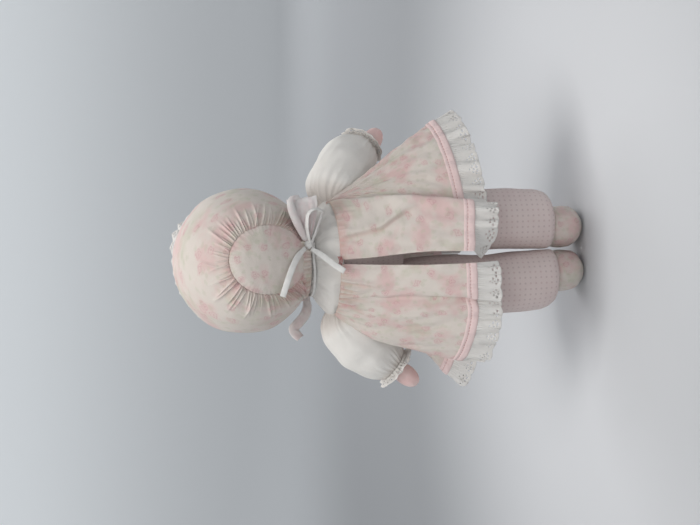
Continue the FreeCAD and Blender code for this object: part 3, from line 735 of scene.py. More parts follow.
def build_bonnet_crown():
    """The puffed crown: gathered hard on the back piece and softly on the band and the neck."""
    count, rows = 700, 60
    turn = np.radians(np.linspace(-153, 153, count))
    inner, outer = bonnet_edges(turn)
    share = np.linspace(0, 1, rows)
    share = 0.72 * share + 0.28 * ease(0, 1, share)
    angle = np.arccos(np.clip((inner * outer).sum(-1), -1, 1))[None, :, None]
    s = share[:, None, None]
    direction = (np.sin((1 - s) * angle) * inner + np.sin(s * angle) * outer) / np.sin(angle)
    surface, normal = on_bonnet(direction)
    down = np.concatenate(
        [np.zeros((1, count)), np.cumsum(np.linalg.norm(np.diff(surface, axis=0), axis=-1), 0)]
    )
    left = down[-1] - down
    wide, front = along(surface[0]), along(surface[-1])
    draw = np.random.default_rng(3)
    places = np.cumsum(draw.uniform(1.3, 3.9, 110))
    places = places[places < wide[-1]]
    size = draw.uniform(0.25, 1, len(places))
    leans = draw.normal(0, 0.10, len(places))
    gathers = pleats(wide, down, places, 9 + 29 * size, 0.7 + 1.6 * size, leans, 0.42, 0.019)
    places = np.cumsum(draw.uniform(2.4, 4.6, 150))
    places = places[places < front[-1]]
    near_neck = np.interp(places, front, (np.abs(turn) > math.radians(108)).astype(float))
    size = draw.uniform(0.3, 1, len(places))
    leans = draw.normal(0, 0.10, len(places))
    lengths = (6 + 9 * size) * (1 + 0.9 * near_neck)
    front_gathers = pleats(
        front, left, places, lengths, (0.4 + 0.9 * size) * (1 + near_neck), leans, 0.7, 0.04
    )
    low = ease(math.radians(105), math.radians(125), np.abs(turn))
    # Painted shade between the gathers on the back piece and deep in the gathers at the neck.
    painted_shade = (
        (1 - np.clip(gathers / 0.9, 0, 1)) * fade(1, 22, down)
        * (0.22 + 0.2 * ease(60, 130, np.degrees(np.abs(turn))))
    )
    painted_shade += (1 - np.clip(front_gathers, 0, 1)) * fade(2, 17, left) * low * 0.95
    puff = -0.9 * np.exp(-down / 2.6) + 0.9 * ease(4, 30, down) * ease(0, 18, left)
    puff += 0.7 * wander(surface, 42, 5) * ease(0, 15, down) - 1.6 * np.exp(-left / 2.0)
    ripples = 0.4 * wander(stacked(wide, down * 0.15), 5.5, 8) * fade(12, 34, down)
    crown = surface + normal * (gathers + front_gathers + puff + ripples)[..., None]
    crown_obj = panel(
        "bonnet_crown_cloth", crown, stacked(wide * 1.35, down), BONNET_AT, folds=painted_shade
    )
    dressed(thicken(crown_obj, PRINT), "floral_cotton", ["bonnet_crown"], "head")
    return crown_obj


def build_bonnet_back():
    """The flat back piece, puckered along its seam."""
    rings, spokes = 34, 200
    turn = circle(spokes)
    share = np.linspace(0.006, 1.0, rings)[:, None]
    half_wide, half_tall, height = BACK_PIECE
    x, z = half_wide * share * np.sin(turn), height + half_tall * share * np.cos(turn)
    place, normal = on_bonnet(bonnet_direction(x=x, z=z))
    edge = (1 - share) * 38
    lift = 0.9 * ease(0, 9, edge) - 0.1 * np.exp(-edge / 2.2) + 0.22 * wander(place, 16, 9)
    tucks = np.sin(turn * 52 + 3 * np.sin(turn * 5))
    pucker = 0.45 * tucks * np.exp(-edge / 3.0)
    place = place + normal * (lift + pucker)[..., None]
    opening = np.hypot(place[..., 0], place[..., 1])
    place[..., 2] = np.where(opening < 40, np.maximum(place[..., 2], 288.5), place[..., 2])
    flat = stacked(x, z)
    flat = np.concatenate([flat, flat[:, :1]], 1) + (400.0, 0)
    # Painted shade in the tucks along the back piece's seam.
    painted_shade = np.exp(-edge / 1.6) * (0.10 + 0.10 * tucks)
    back_obj = panel("bonnet_back_panel", place, flat, BONNET_AT, closed=True, folds=painted_shade)
    dressed(thicken(back_obj, PRINT), "floral_cotton", ["bonnet_back"], "head")
    return back_obj


def build_bonnet_neck_edge():
    """The gathered edge that runs down from the bonnet into the neck casing."""
    turn = np.linspace(-2.25, 2.25, 520)
    profile = np.array(
        [(295.0, 41.0), (291.0, 40.0), (287.5, 38.6), (285.0, 37.0), (283.6, 34.5), (283.4, 32.0)]
    )
    z, radius = profile[:, :1], profile[:, 1:]
    folded = (
        0.75 * np.sin(46 * turn + 6 * np.sin(2.7 * turn))
        + 0.6 * np.sin(23 * turn + 3 * np.sin(4 * turn) + 1)
    )
    radius = radius + folded * ease(296, 290, z) + 0.8 * (np.abs(turn) > 0.35)
    grid = stacked(radius * np.sin(turn), radius * np.cos(turn), z)
    # Painted shade deep in the neck gathers, strongest at the sides.
    painted_shade = (0.35 - 0.3 * folded) * (0.5 + 0.5 * ease(0.3, 1.1, np.abs(turn))) * ease(296, 289, z)
    neck_edge = panel(
        "bonnet_neck_gathers", grid, flat_of(grid) + (0, 500), (0, 0, 300), folds=painted_shade
    )
    dressed(thicken(neck_edge, LAWN), "floral_cotton")
    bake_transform(neck_edge)


def build_bonnet():
    """The three pieces of cloth that make up the bonnet."""
    crown_obj = build_bonnet_crown()
    back_obj = build_bonnet_back()
    build_bonnet_neck_edge()


def face_ring(half_wide, half_tall, y, count, low=BAND_LOW):
    """Points round the face at one depth, from the band's left end over the top to its right
    end, and the directions outwards."""
    end = math.acos((low - BONNET_AT[2]) / half_tall)
    turn = np.linspace(end, -end, count)
    x, z = half_wide * np.sin(turn), BONNET_AT[2] + half_tall * np.cos(turn)
    out = unit(stacked(np.sin(turn) / half_wide, np.zeros(count), np.cos(turn) / half_tall))
    return stacked(x, np.full(count, float(y)), z), out


def build_band_and_brim():
    """The band round the face, the lining behind it and the lace frill in front of it."""
    count = 420
    rows = []
    for y, swell in (
        (-21, -1.2), (-22, 0.2), (-24, 1.1), (-26.5, 1.1), (-28.6, 0.3), (-29.4, -0.8)
    ):
        line, out = face_ring(65.5, 63.5, y, count)
        pucker = 0.18 * np.sin(along(line) * TURN / 3.3) * (abs(y + 25) / 4)
        rows.append(line + out * (swell + pucker)[:, None])
    grid = np.array(rows)
    band = panel("bonnet_band_cloth", grid, flat_of(grid) + (0, 300), BONNET_AT)
    dressed(thicken(band, 1.4), "floral_cotton", ["bonnet_band"], "head")
    rows = []
    for half_wide, half_tall, y in (
        (64.6, 62.6, -27.5), (63.0, 61.0, -26.5), (60.0, 58.0, -25.5), (56.0, 54.0, -22.0),
        (50.0, 48.0, -16.0)
    ):
        line, out = face_ring(half_wide, half_tall, y, count, BONNET_AT[2] - 0.79 * half_tall)
        tuck = 0.5 * np.sin(along(line) * TURN / 4.1 + 1.5 * np.sin(along(line) / 9))
        rows.append(line - np.outer(tuck, (0, 1.0, 0)))
    grid = np.array(rows)
    lining = panel("bonnet_lining", grid, flat_of(grid), BONNET_AT)
    dressed(thicken(lining, COTTON), "white_cotton", body="head")
    line, out = face_ring(66.9, 64.9, -27.6, count)
    sewn = stitches("band_stitches", line + out * 0.2, out, 2.0, 1.1, 0.22)
    dressed(sewn, "floral_cotton", body="head")
    edge, out = face_ring(65.0, 63.0, -28.5, count)
    flare = 0.24 + 0.28 * bell(np.linspace(2.45, -2.45, count) + 0.40, 0.25)
    lean = unit(out * flare[:, None] + np.array([0, -1, 0]))
    brim = frill(
        "brim_frill", edge, lean, out, 20, gather=1.5, ripple=2.2, wave=17, seed=21, cell=0.8
    )
    dressed(thicken(brim, LACE), "eyelet_lace", ["brim_lace"], "head")


# ------------------------------------------------------------ trunk

TORSO_HEIGHTS = [212, 224, 251, 262, 275, 283]
TORSO_WIDTHS = [46, 56, 57, 54, 40, 25]
TORSO_DEPTHS = [31, 37, 38, 33, 26, 20]


def torso_ring(z, turn, grow):
    """Points round the trunk at heights z, from the back middle towards the doll's left."""
    wide = np.interp(z, TORSO_HEIGHTS, TORSO_WIDTHS) + grow
    deep = np.interp(z, TORSO_HEIGHTS, TORSO_DEPTHS) + grow
    return stacked(wide * np.sin(turn), deep * np.cos(turn), z)


def build_trunk():
    """The stuffed torso, then the bodice, the neck casing with its tape and the red stitch."""
    turn = circle(72)[None, :]
    z = np.array([188, 190, 196, 204, 213, 224, 232, 242, 251, 258, 264, 270, 276, 281])[:, None]
    shrink = 1 - 0.62 * ease(214, 186, z)
    rings = torso_ring(z, turn, 0) * stacked(shrink, 0.35 + 0.65 * shrink, np.ones_like(z))
    body = solid_form("torso_cloth", rings * (0.96, 0.96, 1))
    stuffed(body, 4.5, 2.0)
    wrap_round(body, TURN * 48)
    dressed(soften(body), "pin_dot_cotton", ["torso", "torso_stuffing"], "trunk")

    turn = np.linspace(0.07, TURN + 0.16, 420)[None, :]
    z = np.linspace(253, 281.5, 30)[:, None]
    wide = np.interp(z, [253, 262, 266, 271, 277, 282], [58, 58.5, 56, 50, 42, 33])
    deep = np.interp(z, [253, 262, 275, 282], [40, 36, 29, 24])
    grid = stacked(wide * np.sin(turn), deep * np.cos(turn), z)
    flat = flat_of(grid)
    out = unit(grid * (1, 1, 0))
    lap = 0.9 * ease(TURN - 0.25, TURN, turn)
    folds = (
        0.9 * wander(flat * (1.0, 0.35), 15, 31)
        + 0.3 * np.sin(flat[..., 0] * 1.9 + 2 * wander(flat, 30, 32)) * ease(262, 280, z)
    )
    gathered = 0.4 * np.sin(flat[..., 0] * 1.55) * fade(253, 262, z)
    bodice = panel(
        "bodice_cloth", grid + out * (folds + gathered + lap)[..., None], flat, (0, 0, 260)
    )
    dressed(thicken(bodice, COTTON), "white_cotton", ["bodice"], "trunk")

    turn = circle(480)[None, :]
    profile = np.array(
        [
            (279.2, 2.2), (280.2, 3.8), (281.4, 4.8), (282.8, 5.0), (284.0, 4.3), (284.6, 2.8),
            (284.0, 1.2)
        ]
    )
    z, grow = profile[:, :1], profile[:, 1:]
    grid = torso_ring(z, turn, grow + 2.5)
    ruck = 0.75 * np.sin(46 * turn + 2.5 * np.sin(5 * turn)) * ease(0.5, 2.5, grow)
    out = unit(grid * (1, 1, 0))
    casing = panel(
        "neck_casing_cloth", grid + out * ruck[..., None], flat_of(grid, True), (0, 0, 281),
        closed=True
    )
    dressed(thicken(casing, CASING), "white_cotton", ["neck_casing"], "trunk")

    tapes = []
    for number, (z, grow, seed) in enumerate(((280.6, 8.4, 41), (284.2, 8.6, 42))):
        turn = np.linspace(-0.42, TURN - 0.5, 240)
        line = torso_ring(np.full(240, z), turn, grow)
        line[:, 2] += 1.0 * wander(line, 38, seed)
        tapes.append(sweep(f"neck_tape_strand_{number}", line, (0, 0.25, 1.0), oval(1.5, 0.7, 10)))
    dressed(tapes[0], "twill_tape", ["neck_tape"], "trunk")
    dressed(tapes[1], "twill_tape", body="trunk")

    at = span("closure_stitch")[2]
    ends = [at + (-4.5, 0.6, 1.2), at + (0, 1.4, -0.2), at + (4.5, 0.8, 1.4)]
    for number, rise in enumerate((-1.2, 0.2, 1.5)):
        line = curve([end + (0, 0, rise) for end in ends], 24)
        bar = thread_bar(f"closure_thread_{number}", line, 0.45, 0.4)
        dressed(bar, "mouth_thread", ["closure_stitch"] if number == 0 else [], "trunk")


def build_neck():
    """The neck stub, slightly gathered where it meets the head."""
    z = np.linspace(272, 289, 16)[:, None]
    turn = circle(64)[None, :]
    radius = np.sqrt(np.clip(15.5**2 - (z - 284) ** 2, 40, None)) * (1 - 0.12 * ease(284, 289, z))
    radius = radius + 0.35 * np.sin(18 * turn) * ease(280, 288, z)
    grid = stacked(radius * np.sin(turn), radius * np.cos(turn), z)
    neck = panel("neck_cloth", grid, flat_of(grid, True), (0, 0, 282), closed=True)
    dressed(thicken(neck, COTTON), "skin_cotton", ["neck"], "neck")


# ------------------------------------------------------------ head and face


def build_head():
    low = span("head")[0]
    half = np.array([60.5, 53.5, 58.5])
    centre = np.array([0, 0, 345.0])
    tilt = np.linspace(0.04, math.pi - 0.04, 30)[:, None]
    turn = circle(48)[None, :]
    grid = stacked(np.sin(tilt) * np.sin(turn), np.sin(tilt) * np.cos(turn), np.cos(tilt))
    chin = np.where(grid[..., 2] < 0, 1 - 0.07 * grid[..., 2] ** 2, 1)
    grid = centre + grid * half * stacked(chin, np.ones_like(chin), np.ones_like(chin))
    grid[..., 2] = np.maximum(grid[..., 2], low[2] + 0.6)
    head = solid_form("head_cloth", grid)
    stuffed(head, 5, 1.5, lambda p: p[:, 2] < low[2] + 4)
    wrap_round(head, TURN * 58)
    dressed(soften(head), "skin_cotton", ["head", "head_stuffing"], "head")
    return head


def on_face(head, x, z, lift=0.0):
    """The head's surface straight behind a point in front of the face."""
    found = head.closest_point_on_mesh(Vector((x * MM, -0.08, z * MM)))
    points = points_of(head)
    near = points[(np.hypot(points[:, 0] - x, points[:, 2] - z) < 6) & (points[:, 1] < 0)]
    y = near[:, 1].min() if len(near) else found[1].y / MM
    return y - lift


def satin_patch(name, head, x, z, half_wide, half_tall, rows, slant=0.0):
    """A patch of satin stitch: threads laid side by side over an oval on the face."""
    lines = []
    for v in np.linspace(-0.96, 0.96, rows):
        reach = half_wide * math.sqrt(1 - v * v) * 1.02
        xs = x + np.linspace(-reach, reach, 9)
        zs = z + v * half_tall + slant * (xs - x)
        ys = np.array([on_face(head, a, b) for a, b in zip(xs, zs)])
        ys = (
            ys
            - 1.15 * np.sqrt(np.clip(1 - np.linspace(-1, 1, 9) ** 4, 0, 1))
            * math.sqrt(1 - 0.7 * v * v)
            + 0.35
        )
        lines.append(stacked(xs, ys, zs))
    thickness = half_tall / rows * 1.15
    parts = [
        thread_bar(f"{name}_{number}", line, thickness, 0.4) for number, line in enumerate(lines)
    ]
    return joined(name, parts)


def joined(name, parts):
    """Several mesh objects as one."""
    with bpy.context.temp_override(active_object=parts[0], selected_editable_objects=parts):
        bpy.ops.object.join()
    parts[0].name = parts[0].data.name = name
    return parts[0]


def thread_bar(name, line, half_wide, half_thick, taper=None):
    """A raised thread that lies along a line."""
    return sweep(name, line, (0, 0, 1.0), oval(half_wide, half_thick, 8), taper)


def build_face(head):
    """Embroidered eyes, brows and mouth, and a small stuffed nose: all guessed."""
    for side, sign in SIGNS.items():
        at = span(f"{side}_eye")[2]
        eye = satin_patch(f"{side}_eye_stitches", head, at[0], at[2], 4.2, 5.6, 13)
        dressed(eye, "eye_thread", [f"{side}_eye"], "head")
        brow = [(sign * x, z) for x, z in ((14.5, 361.5), (20, 363.5), (26, 361.5))]
        line = curve([(x, on_face(head, x, z, 0.1), z) for x, z in brow], 24)
        dressed(thread_bar(f"{side}_brow_thread", line, 0.55, 0.4), "eye_thread", body="head")
        x, z = at[0] + 1.4, at[2] + 2.2
        y = on_face(head, x, z, 1.2)
        line = curve([(x + d, y, z) for d in (-0.7, 0, 0.7)], 6)
        dressed(thread_bar(f"{side}_eye_glint", line, 0.6, 0.3), "white_cotton", body="head")
    at = span("mouth")[2]
    for number, (rise, drop) in enumerate(((0.9, 0.0), (-0.9, -2.0))):
        ends = [
            (-7, rise + 0.9), (-3, rise - 0.3 + 0.4 * drop), (0, rise - 0.5 + 0.5 * drop),
            (3, rise - 0.3 + 0.4 * drop), (7, rise + 0.9)
        ]
        line = curve([(x, on_face(head, x, at[2] + z, 0.1), at[2] + z) for x, z in ends], 30)
        taper = np.sqrt(np.clip(1 - np.linspace(-1, 1, 30) ** 4, 0.05, 1))
        lip = thread_bar(f"mouth_thread_{number}", line, 0.95, 0.55, taper)
        dressed(lip, "mouth_thread", ["mouth"] if number == 0 else [], "head")
    at = span("nose")[2]
    tilt, turn = np.linspace(0.02, math.pi / 2, 10)[:, None], circle(28)[None, :]
    radius = 3.6 * (1 + 0.03 * np.sin(12 * turn) * np.sin(tilt))
    y = on_face(head, 0, at[2], -0.6)
    grid = stacked(
        radius * np.sin(tilt) * np.sin(turn), y - 3.0 * np.cos(tilt),
        at[2] + radius * np.sin(tilt) * np.cos(turn)
    )
    nose = panel("nose_cloth", grid, flat_of(grid, True), (0, y + 3, at[2]), closed=True)
    dressed(thicken(nose, 0.5), "skin_cotton", ["nose"], "head")


# ------------------------------------------------------------ ribbons and tapes

def route_points(route):
    """The points of the smooth curve that a cord's route gives, in mm."""
    data = bpy.data.curves.new("route", "CURVE")
    data.dimensions = "3D"
    spline = data.splines.new("NURBS")
    spline.points.add(len(route) - 1)
    for point, place in zip(spline.points, route):
        point.co = (*place, 1)
    spline.order_u = 3
    spline.use_endpoint_u = True
    spline.resolution_u = 16
    holder = bpy.data.objects.new("route", data)
    mesh = bpy.data.meshes.new_from_object(holder)
    found = np.array([v.co for v in mesh.vertices]) / MM
    bpy.data.meshes.remove(mesh)
    bpy.data.objects.remove(holder)
    bpy.data.curves.remove(data)
    return found


TAIL_UP = [
    (-0.010, 0.042, 0.290), (-0.004, 0.052, 0.298), (0.007, 0.0595, 0.305), (0.021, 0.062, 0.311),
    (0.036, 0.059, 0.316)
]
TAIL_DOWN = [
    (-0.009, 0.0395, 0.284), (-0.004, 0.0435, 0.2765), (0.002, 0.047, 0.2695),
    (0.0085, 0.050, 0.2625), (0.014, 0.054, 0.2545)
]


def tape_end(name, route, node):
    """One free end of the neck tape: flat twill with a raised selvedge on each side."""
    line = route_points(route)
    count = len(line)
    tangent = unit(np.gradient(line, axis=0))
    across = np.cross(tangent, (0, 1.0, 0))
    profile = [
        (-3, 0), (-2.7, 0.55), (-2.1, 0.38), (-1.0, 0.42), (-0.3, 0.30), (0.3, 0.30), (1.0, 0.42),
        (2.1, 0.38), (2.7, 0.55), (3, 0)
    ]
    profile += [(2.5, -0.4), (0, -0.3), (-2.5, -0.4)]
    pinch = 0.72 + 0.28 * ease(0, 0.25, np.linspace(0, 1, count))
    tape = sweep(name, line, across, profile, pinch)
    dressed(tape, "twill_tape", [node], "trunk")


def build_nape_bow():
    """The tapes' two free ends, the knot and the two loops."""
    tape_end("tie_tail_up_tape", TAIL_UP, "tie_tail_up")
    tape_end("tie_tail_down_tape", TAIL_DOWN, "tie_tail_down")

    at = span("tie_knot")[2]
    turn = circle(40)[None, :]
    rise = np.linspace(-1, 1, 15)[:, None]
    radius = 4.6 * np.sqrt(1 - 0.62 * rise**2) * (1 + 0.05 * np.sin(3 * turn + 2 * rise))
    ridge = 0.28 * np.sin(rise * 9 + 0.8 * np.sin(turn))
    grid = stacked(
        rise * 4.6 + 0.5 * np.sin(turn), (radius + ridge) * np.cos(turn),
        (radius + ridge) * np.sin(turn)
    )
    turned = Matrix.Rotation(math.radians(28), 3, "Y")
    grid = at + grid @ np.array(turned).T
    knot = panel("tie_knot_tape", grid, flat_of(grid, True), at, closed=True)
    dressed(thicken(knot, 0.6), "twill_tape", ["tie_knot"], "trunk")

    loop = [
        (-15, 39, 286), (-30.5, 47, 288.6), (-42.5, 50.5, 287.3), (-47.5, 49, 280),
        (-44.4, 45, 272.8), (-35.4, 43, 275.3), (-25, 41, 279), (-15, 39, 283)
    ]
    line = smooth(loop, 130)
    across = 0.45 * np.cross(unit(np.gradient(line, axis=0)), (0, 1.0, 0)) + (0, 0.9, 0)
    narrow = ribbon("tie_loop_narrow_tape", line, across, np.full(130, 5.4), 0.5, 0.12, 51, 9)
    dressed(thicken(narrow, TWILL, 0), "twill_tape", ["tie_loop_narrow"], "trunk")

    build_wide_loop()


def build_wide_loop():
    """The ribbon loop beside the tape's own, gathered at the knot, with a rolled upper edge."""
    loop = [
        (-17, 39, 288), (-28, 42, 289), (-41, 45, 290.5), (-52, 46, 291.5), (-57.5, 44, 292),
        (-57, 40.5, 292), (-44, 37.5, 290.5), (-28, 37, 288.5), (-18, 36.5, 286)
    ]
    line = smooth(loop, 150)
    across = (0.10, -0.12, 1.0)
    far = np.linspace(0, 1, 150)
    wide = 5.5 + 23.5 * np.sin(math.pi * far) ** 0.9
    across, normal = sides(line, across)
    side = np.linspace(-0.5, 0.5, 33)[None, :]
    flat = stacked(side * 29, along(line)[:, None])
    open_share = np.sin(math.pi * far)[:, None]
    creases = 0.9 * (1 - open_share**2) * np.sin(side * 34) + 0.35 * wander(flat, 9, 52)
    # Painted shade in the creases where the loop is pinched near its ends.
    painted_shade = (1 - open_share) * (0.5 - 0.5 * np.sin(side * 34))
    grid = (
        line[:, None] + side[..., None] * wide[:, None, None] * across[:, None]
        + creases[..., None] * normal[:, None]
    )
    satin_loop = panel("tie_loop_wide_satin", grid, flat, folds=painted_shade)
    dressed(thicken(satin_loop, 0.35, 0), "satin_ribbon", ["tie_loop_wide"])
    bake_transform(satin_loop)
    border = [
        (-18, 39, 289.5), (-27, 43.5, 294), (-39, 47, 299.5), (-50, 47.5, 303), (-57, 44.5, 301.5),
        (-59.5, 41, 295)
    ]
    line = smooth(border, 70)
    swell = 0.35 + 0.65 * np.sin(math.pi * np.linspace(0.05, 0.92, 70)) ** 0.7
    rolled = sweep("tie_loop_wide_rolled_edge", line, (0, 0.3, 1.0), oval(4.3, 3.0, 18), swell)
    dressed(rolled, "satin_ribbon")
    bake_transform(rolled)


def build_chin_bow():
    """The bonnet's ribbon: the strap under the chin, its knot, two loops and two ends."""
    turn = np.linspace(-1.95, 1.95, 160)
    x, z = 62 * np.sin(turn), 345 - 61.6 * np.cos(turn)
    y = np.full(160, -29.0) - 6 * np.cos(turn) ** 2 * (np.abs(turn) < 1.6)
    line = stacked(x, y, z)
    low = z < BAND_LOW + 4
    line = evened(line[low], 140)
    across = (0, 1.0, 0.1)
    strap = ribbon("chin_strap_satin", line, across, np.full(140, 10.5), -0.5, 0.5, 61)
    dressed(thicken(strap, SATIN, 0), "satin_ribbon", ["chin_strap"], "head")

    at = span("chin_knot")[2]
    turn = circle(36)[None, :]
    rise = np.linspace(-1, 1, 13)[:, None]
    radius = (4.4 + 0.3 * np.sin(rise * 8 + turn)) * np.sqrt(1 - 0.6 * rise**2)
    grid = at + stacked(rise * 4.4, radius * np.cos(turn), 1.1 * radius * np.sin(turn))
    knot = panel("chin_knot_satin", grid, flat_of(grid, True), at, closed=True)
    dressed(thicken(knot, 0.5), "satin_ribbon", ["chin_knot"], "head")
    for side, sign in SIGNS.items():
        loop_at = span(f"chin_loop_{side}")[2]
        tip, half = loop_at[0] + sign * 16.0, 6.3
        loop = [
            at + (sign * 4, 0, 0), loop_at + (-sign * 4, -1, half),
            loop_at + (sign * 8, -1, half * 0.9), np.array([tip, loop_at[1], loop_at[2] - 1]),
            loop_at + (sign * 7, 1, -half), loop_at + (-sign * 5, 1, -half * 0.9),
            at + (sign * 4, 1, -1)
        ]
        line = smooth(loop, 90)
        across = (0, 1.0, 0.15)
        loop = ribbon(f"chin_loop_{side}_satin", line, across, np.full(90, 10.2), 0.4, 0.35, 62)
        dressed(thicken(loop, SATIN, 0), "satin_ribbon", [f"chin_loop_{side}"], "head")
    tails = {
        "left": [
            (6, -43, 277), (20, -44, 278.5), (34, -41, 281), (46, -37, 280), (56, -33.5, 283),
            (64.5, -31, 290.5), (70, -29, 296), (75, -27, 295), (80, -25, 290)
        ],
        "right": [(-6, -43, 277), (-20, -43, 275), (-36, -40, 275.5), (-48, -37, 277)],
    }
    for side, route in tails.items():
        count = 24 * len(route)
        line = smooth(route, count)
        share = np.linspace(0, 1, count)
        lean = 0.35 + 0.55 * np.sin(TURN * share * 0.9)
        across = stacked(-0.35 * share, lean, np.ones(count))
        width = 5 + 5.2 * ease(0, 0.25, share)
        tail = ribbon(f"chin_tail_{side}_satin", line, across, width, 1.3, 0.28, 63)
        dressed(thicken(tail, SATIN, 0), "satin_ribbon", [f"chin_tail_{side}"], "head")


# ------------------------------------------------------------ arms

# How many degrees each arm hangs below level and points forward.
ARMS = {"left": (51, 10), "right": (35, 38)}
SHOULDER = (58.0, -2.0, 266.0)
WRIST, HAND_START = 86.0, 90.0
# Where each sleeve starts inside the bodice, and the point it bends towards before the wrist.
SLEEVES = {"left": [(50, -2, 252), (70, -4, 254)], "right": [(-50, -2, 256), (-70, -8, 259)]}
SLEEVE_RADIUS, CUFF_RADIUS = 28, 14.8
# How much each cuff's lace turns towards the hand, and where its hand hangs from the arm's line.
CUFF_LEAN = {"left": 0.2, "right": -0.25}
PALM_SHIFT = {"left": (1.0, 0.0, -1.5), "right": (3.5, 0.0, -4.0)}


def arm_axes(side):
    """The shoulder, the direction down the arm and two directions across it."""
    sign = SIGNS[side]
    down, forward = (math.radians(degrees) for degrees in ARMS[side])
    aim = np.array(
        [
            sign * math.cos(down) * math.cos(forward), -math.cos(down) * math.sin(forward),
            -math.sin(down)
        ]
    )
    shoulder = np.array([sign * SHOULDER[0], *SHOULDER[1:]])
    ahead = unit(np.cross(aim, (0, 0, 1.0)) * sign)
    return shoulder, aim, ahead, np.cross(ahead, aim) * sign


def build_arm(side):
    """A puffed sleeve gathered at both ends, its cuff and lace, and the hand."""
    shoulder, aim, ahead, up = arm_axes(side)
    sign, body = SIGNS[side], f"{side}_arm"
    wrist = shoulder + aim * WRIST
    rows, columns = 70, 220
    t = np.linspace(0, 1, rows)
    start, bend = (np.array(p, float) for p in SLEEVES[side])
    line = np.outer((1 - t) ** 2, start) + np.outer(2 * t * (1 - t), bend) + np.outer(t**2, wrist)
    tangent = unit(np.gradient(line, axis=0))
    second = unit(np.array([0, 1.0, 0]) - tangent * tangent[:, 1:2])
    first = np.cross(second, tangent)
    radius = np.interp(
        t, [0, 0.06, 0.13, 0.22, 0.35, 0.5, 0.66, 0.8, 0.9, 0.96, 1.0],
        [11, 13.5, 19, 25, 29.5, 31.5, 32, 30, 26, 21.5, 16.5]
    )
    radius = np.convolve(
        np.pad(radius, 3, "edge"), np.hanning(9)[1:-1] / np.hanning(9).sum(), "valid"
    )
    turn = circle(columns)[None, :]
    far = along(line)[:, None]
    left = far[-1] - far
    draw = np.random.default_rng(70 + (side == "left"))
    out = np.zeros((rows, columns))
    # Painted shade between the gathers near both ends of the sleeve.
    painted_shade = np.zeros((rows, columns))
    for distance, reach, tall, start_at in ((far, (16, 38), 1.5, 9.0), (left, (9, 30), 2.3, 0.0)):
        places = np.cumsum(draw.uniform(0.12, 0.36, 40))
        for place in places[places < TURN - 0.1]:
            apart = np.abs((turn - place + math.pi) % TURN - math.pi)
            height = fade(0.2, draw.uniform(*reach), distance - start_at)
            ridge = height * np.exp(-((apart / (0.045 + 0.0022 * distance)) ** 1.4))
            out = np.maximum(out, tall * draw.uniform(0.4, 1.1) * ridge)
            painted_shade = np.maximum(painted_shade, 0.55 * fade(0, 9, distance - start_at) * (1 - ridge))
    around = stacked(np.cos(turn) * SLEEVE_RADIUS, np.sin(turn) * SLEEVE_RADIUS, far)
    out += 1.0 * wander(around, 34, 75 + sign) + 0.4 * wander(around * (1, 1, 0.4), 12, 85 + sign)
    reach = (radius[:, None] + out)[..., None]
    ring = (
        first[:, None] * np.cos(turn)[..., None] + second[:, None] * 0.86 * np.sin(turn)[..., None]
    )
    sag = np.array([0, 0, -1.0]) * (2.0 * np.sin(math.pi * t))[:, None, None]
    grid = line[:, None] + ring * reach + sag
    flat = stacked(np.linspace(0, TURN * SLEEVE_RADIUS, columns + 1)[None, :], far)
    sleeve = panel(f"{side}_sleeve_cloth", grid, flat, line.mean(0), closed=True, folds=painted_shade)
    dressed(thicken(sleeve, LAWN), "white_cotton", [f"{side}_sleeve", f"{side}_arm"])
    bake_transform(sleeve)

    turn = circle(260)
    spokes = np.outer(np.cos(turn), ahead) + np.outer(np.sin(turn), up)
    section = np.array(
        [
            (-0.6, CUFF_RADIUS), (0.4, 16.6), (1.8, 17.4), (3.2, 16.6), (4.0, CUFF_RADIUS),
            (3.2, 13.8), (0.8, 13.8)
        ]
    )
    ruck = 0.7 * np.sin(34 * turn + 2 * np.sin(3 * turn))
    grid = np.array([wrist + aim * a + spokes * (r + ruck[:, None]) for a, r in section])
    elastic = panel(f"{side}_cuff_gathers", grid, flat_of(grid, True), wrist + aim * 2, closed=True)
    dressed(thicken(elastic, CASING), "white_cotton", [f"{side}_cuff_elastic"], body)

    turn = np.linspace(0, TURN, 200)
    spokes = np.outer(np.cos(turn), ahead) + np.outer(np.sin(turn), up)
    edge = wrist + aim * 2.5 + spokes * CUFF_RADIUS
    lean = unit(spokes + aim * CUFF_LEAN[side])
    lace = frill(
        f"{side}_cuff_frill", edge, lean, aim[None] - spokes * 0.5, 10, gather=1.6, ripple=1.9,
        wave=15, seed=70 + sign, cell=0.6
    )
    dressed(thicken(lace, LACE), "eyelet_lace", [f"{side}_cuff_lace"], body)
    build_hand(side, shoulder, aim, ahead, up)


def build_hand(side, shoulder, aim, ahead, up):
    """A stuffed mitten with a short thumb, and a seam round its edge."""
    palm_at = shoulder + aim * (HAND_START + 11) + PALM_SHIFT[side]
    thumb_at = palm_at - aim * 2 + ahead * 10.5
    parts = []
    for name, at, halves, lean in (
        ("palm", palm_at, (12.4, 10.2, 16.4), 0.0),
        ("thumb", thumb_at, (4.6, 4.6, 8.2), 0.55),
        ("wrist", shoulder + aim * (HAND_START - 3), (13.4, 13.4, 8.0), 0.0),
    ):
        x, y, z = np.moveaxis(ball(halves, 18, 28, 0.05), -1, 0)
        x, z = x * math.cos(lean) + z * math.sin(lean), z * math.cos(lean) - x * math.sin(lean)
        parts.append(
            solid_form(
                f"{side}_{name}_form",
                at + x[..., None] * ahead + y[..., None] * up + z[..., None] * aim
            )
        )
    hand = joined(f"{side}_hand_cloth", parts)
    stuffed(hand, 1.7, 1.2)
    points = points_of(hand) - palm_at
    sunk = 0.5 * bell(np.abs(points @ up), 0.8)
    set_points(hand, points + palm_at - unit(points) * sunk[:, None])
    wrap_flat(
        hand,
        lambda p: stacked((p - palm_at) @ ahead, (p - palm_at) @ aim + 0.3 * (p - palm_at) @ up)
    )
    dressed(soften(hand), "skin_cotton", [f"{side}_hand"], f"{side}_arm")


# ------------------------------------------------------------ skirt

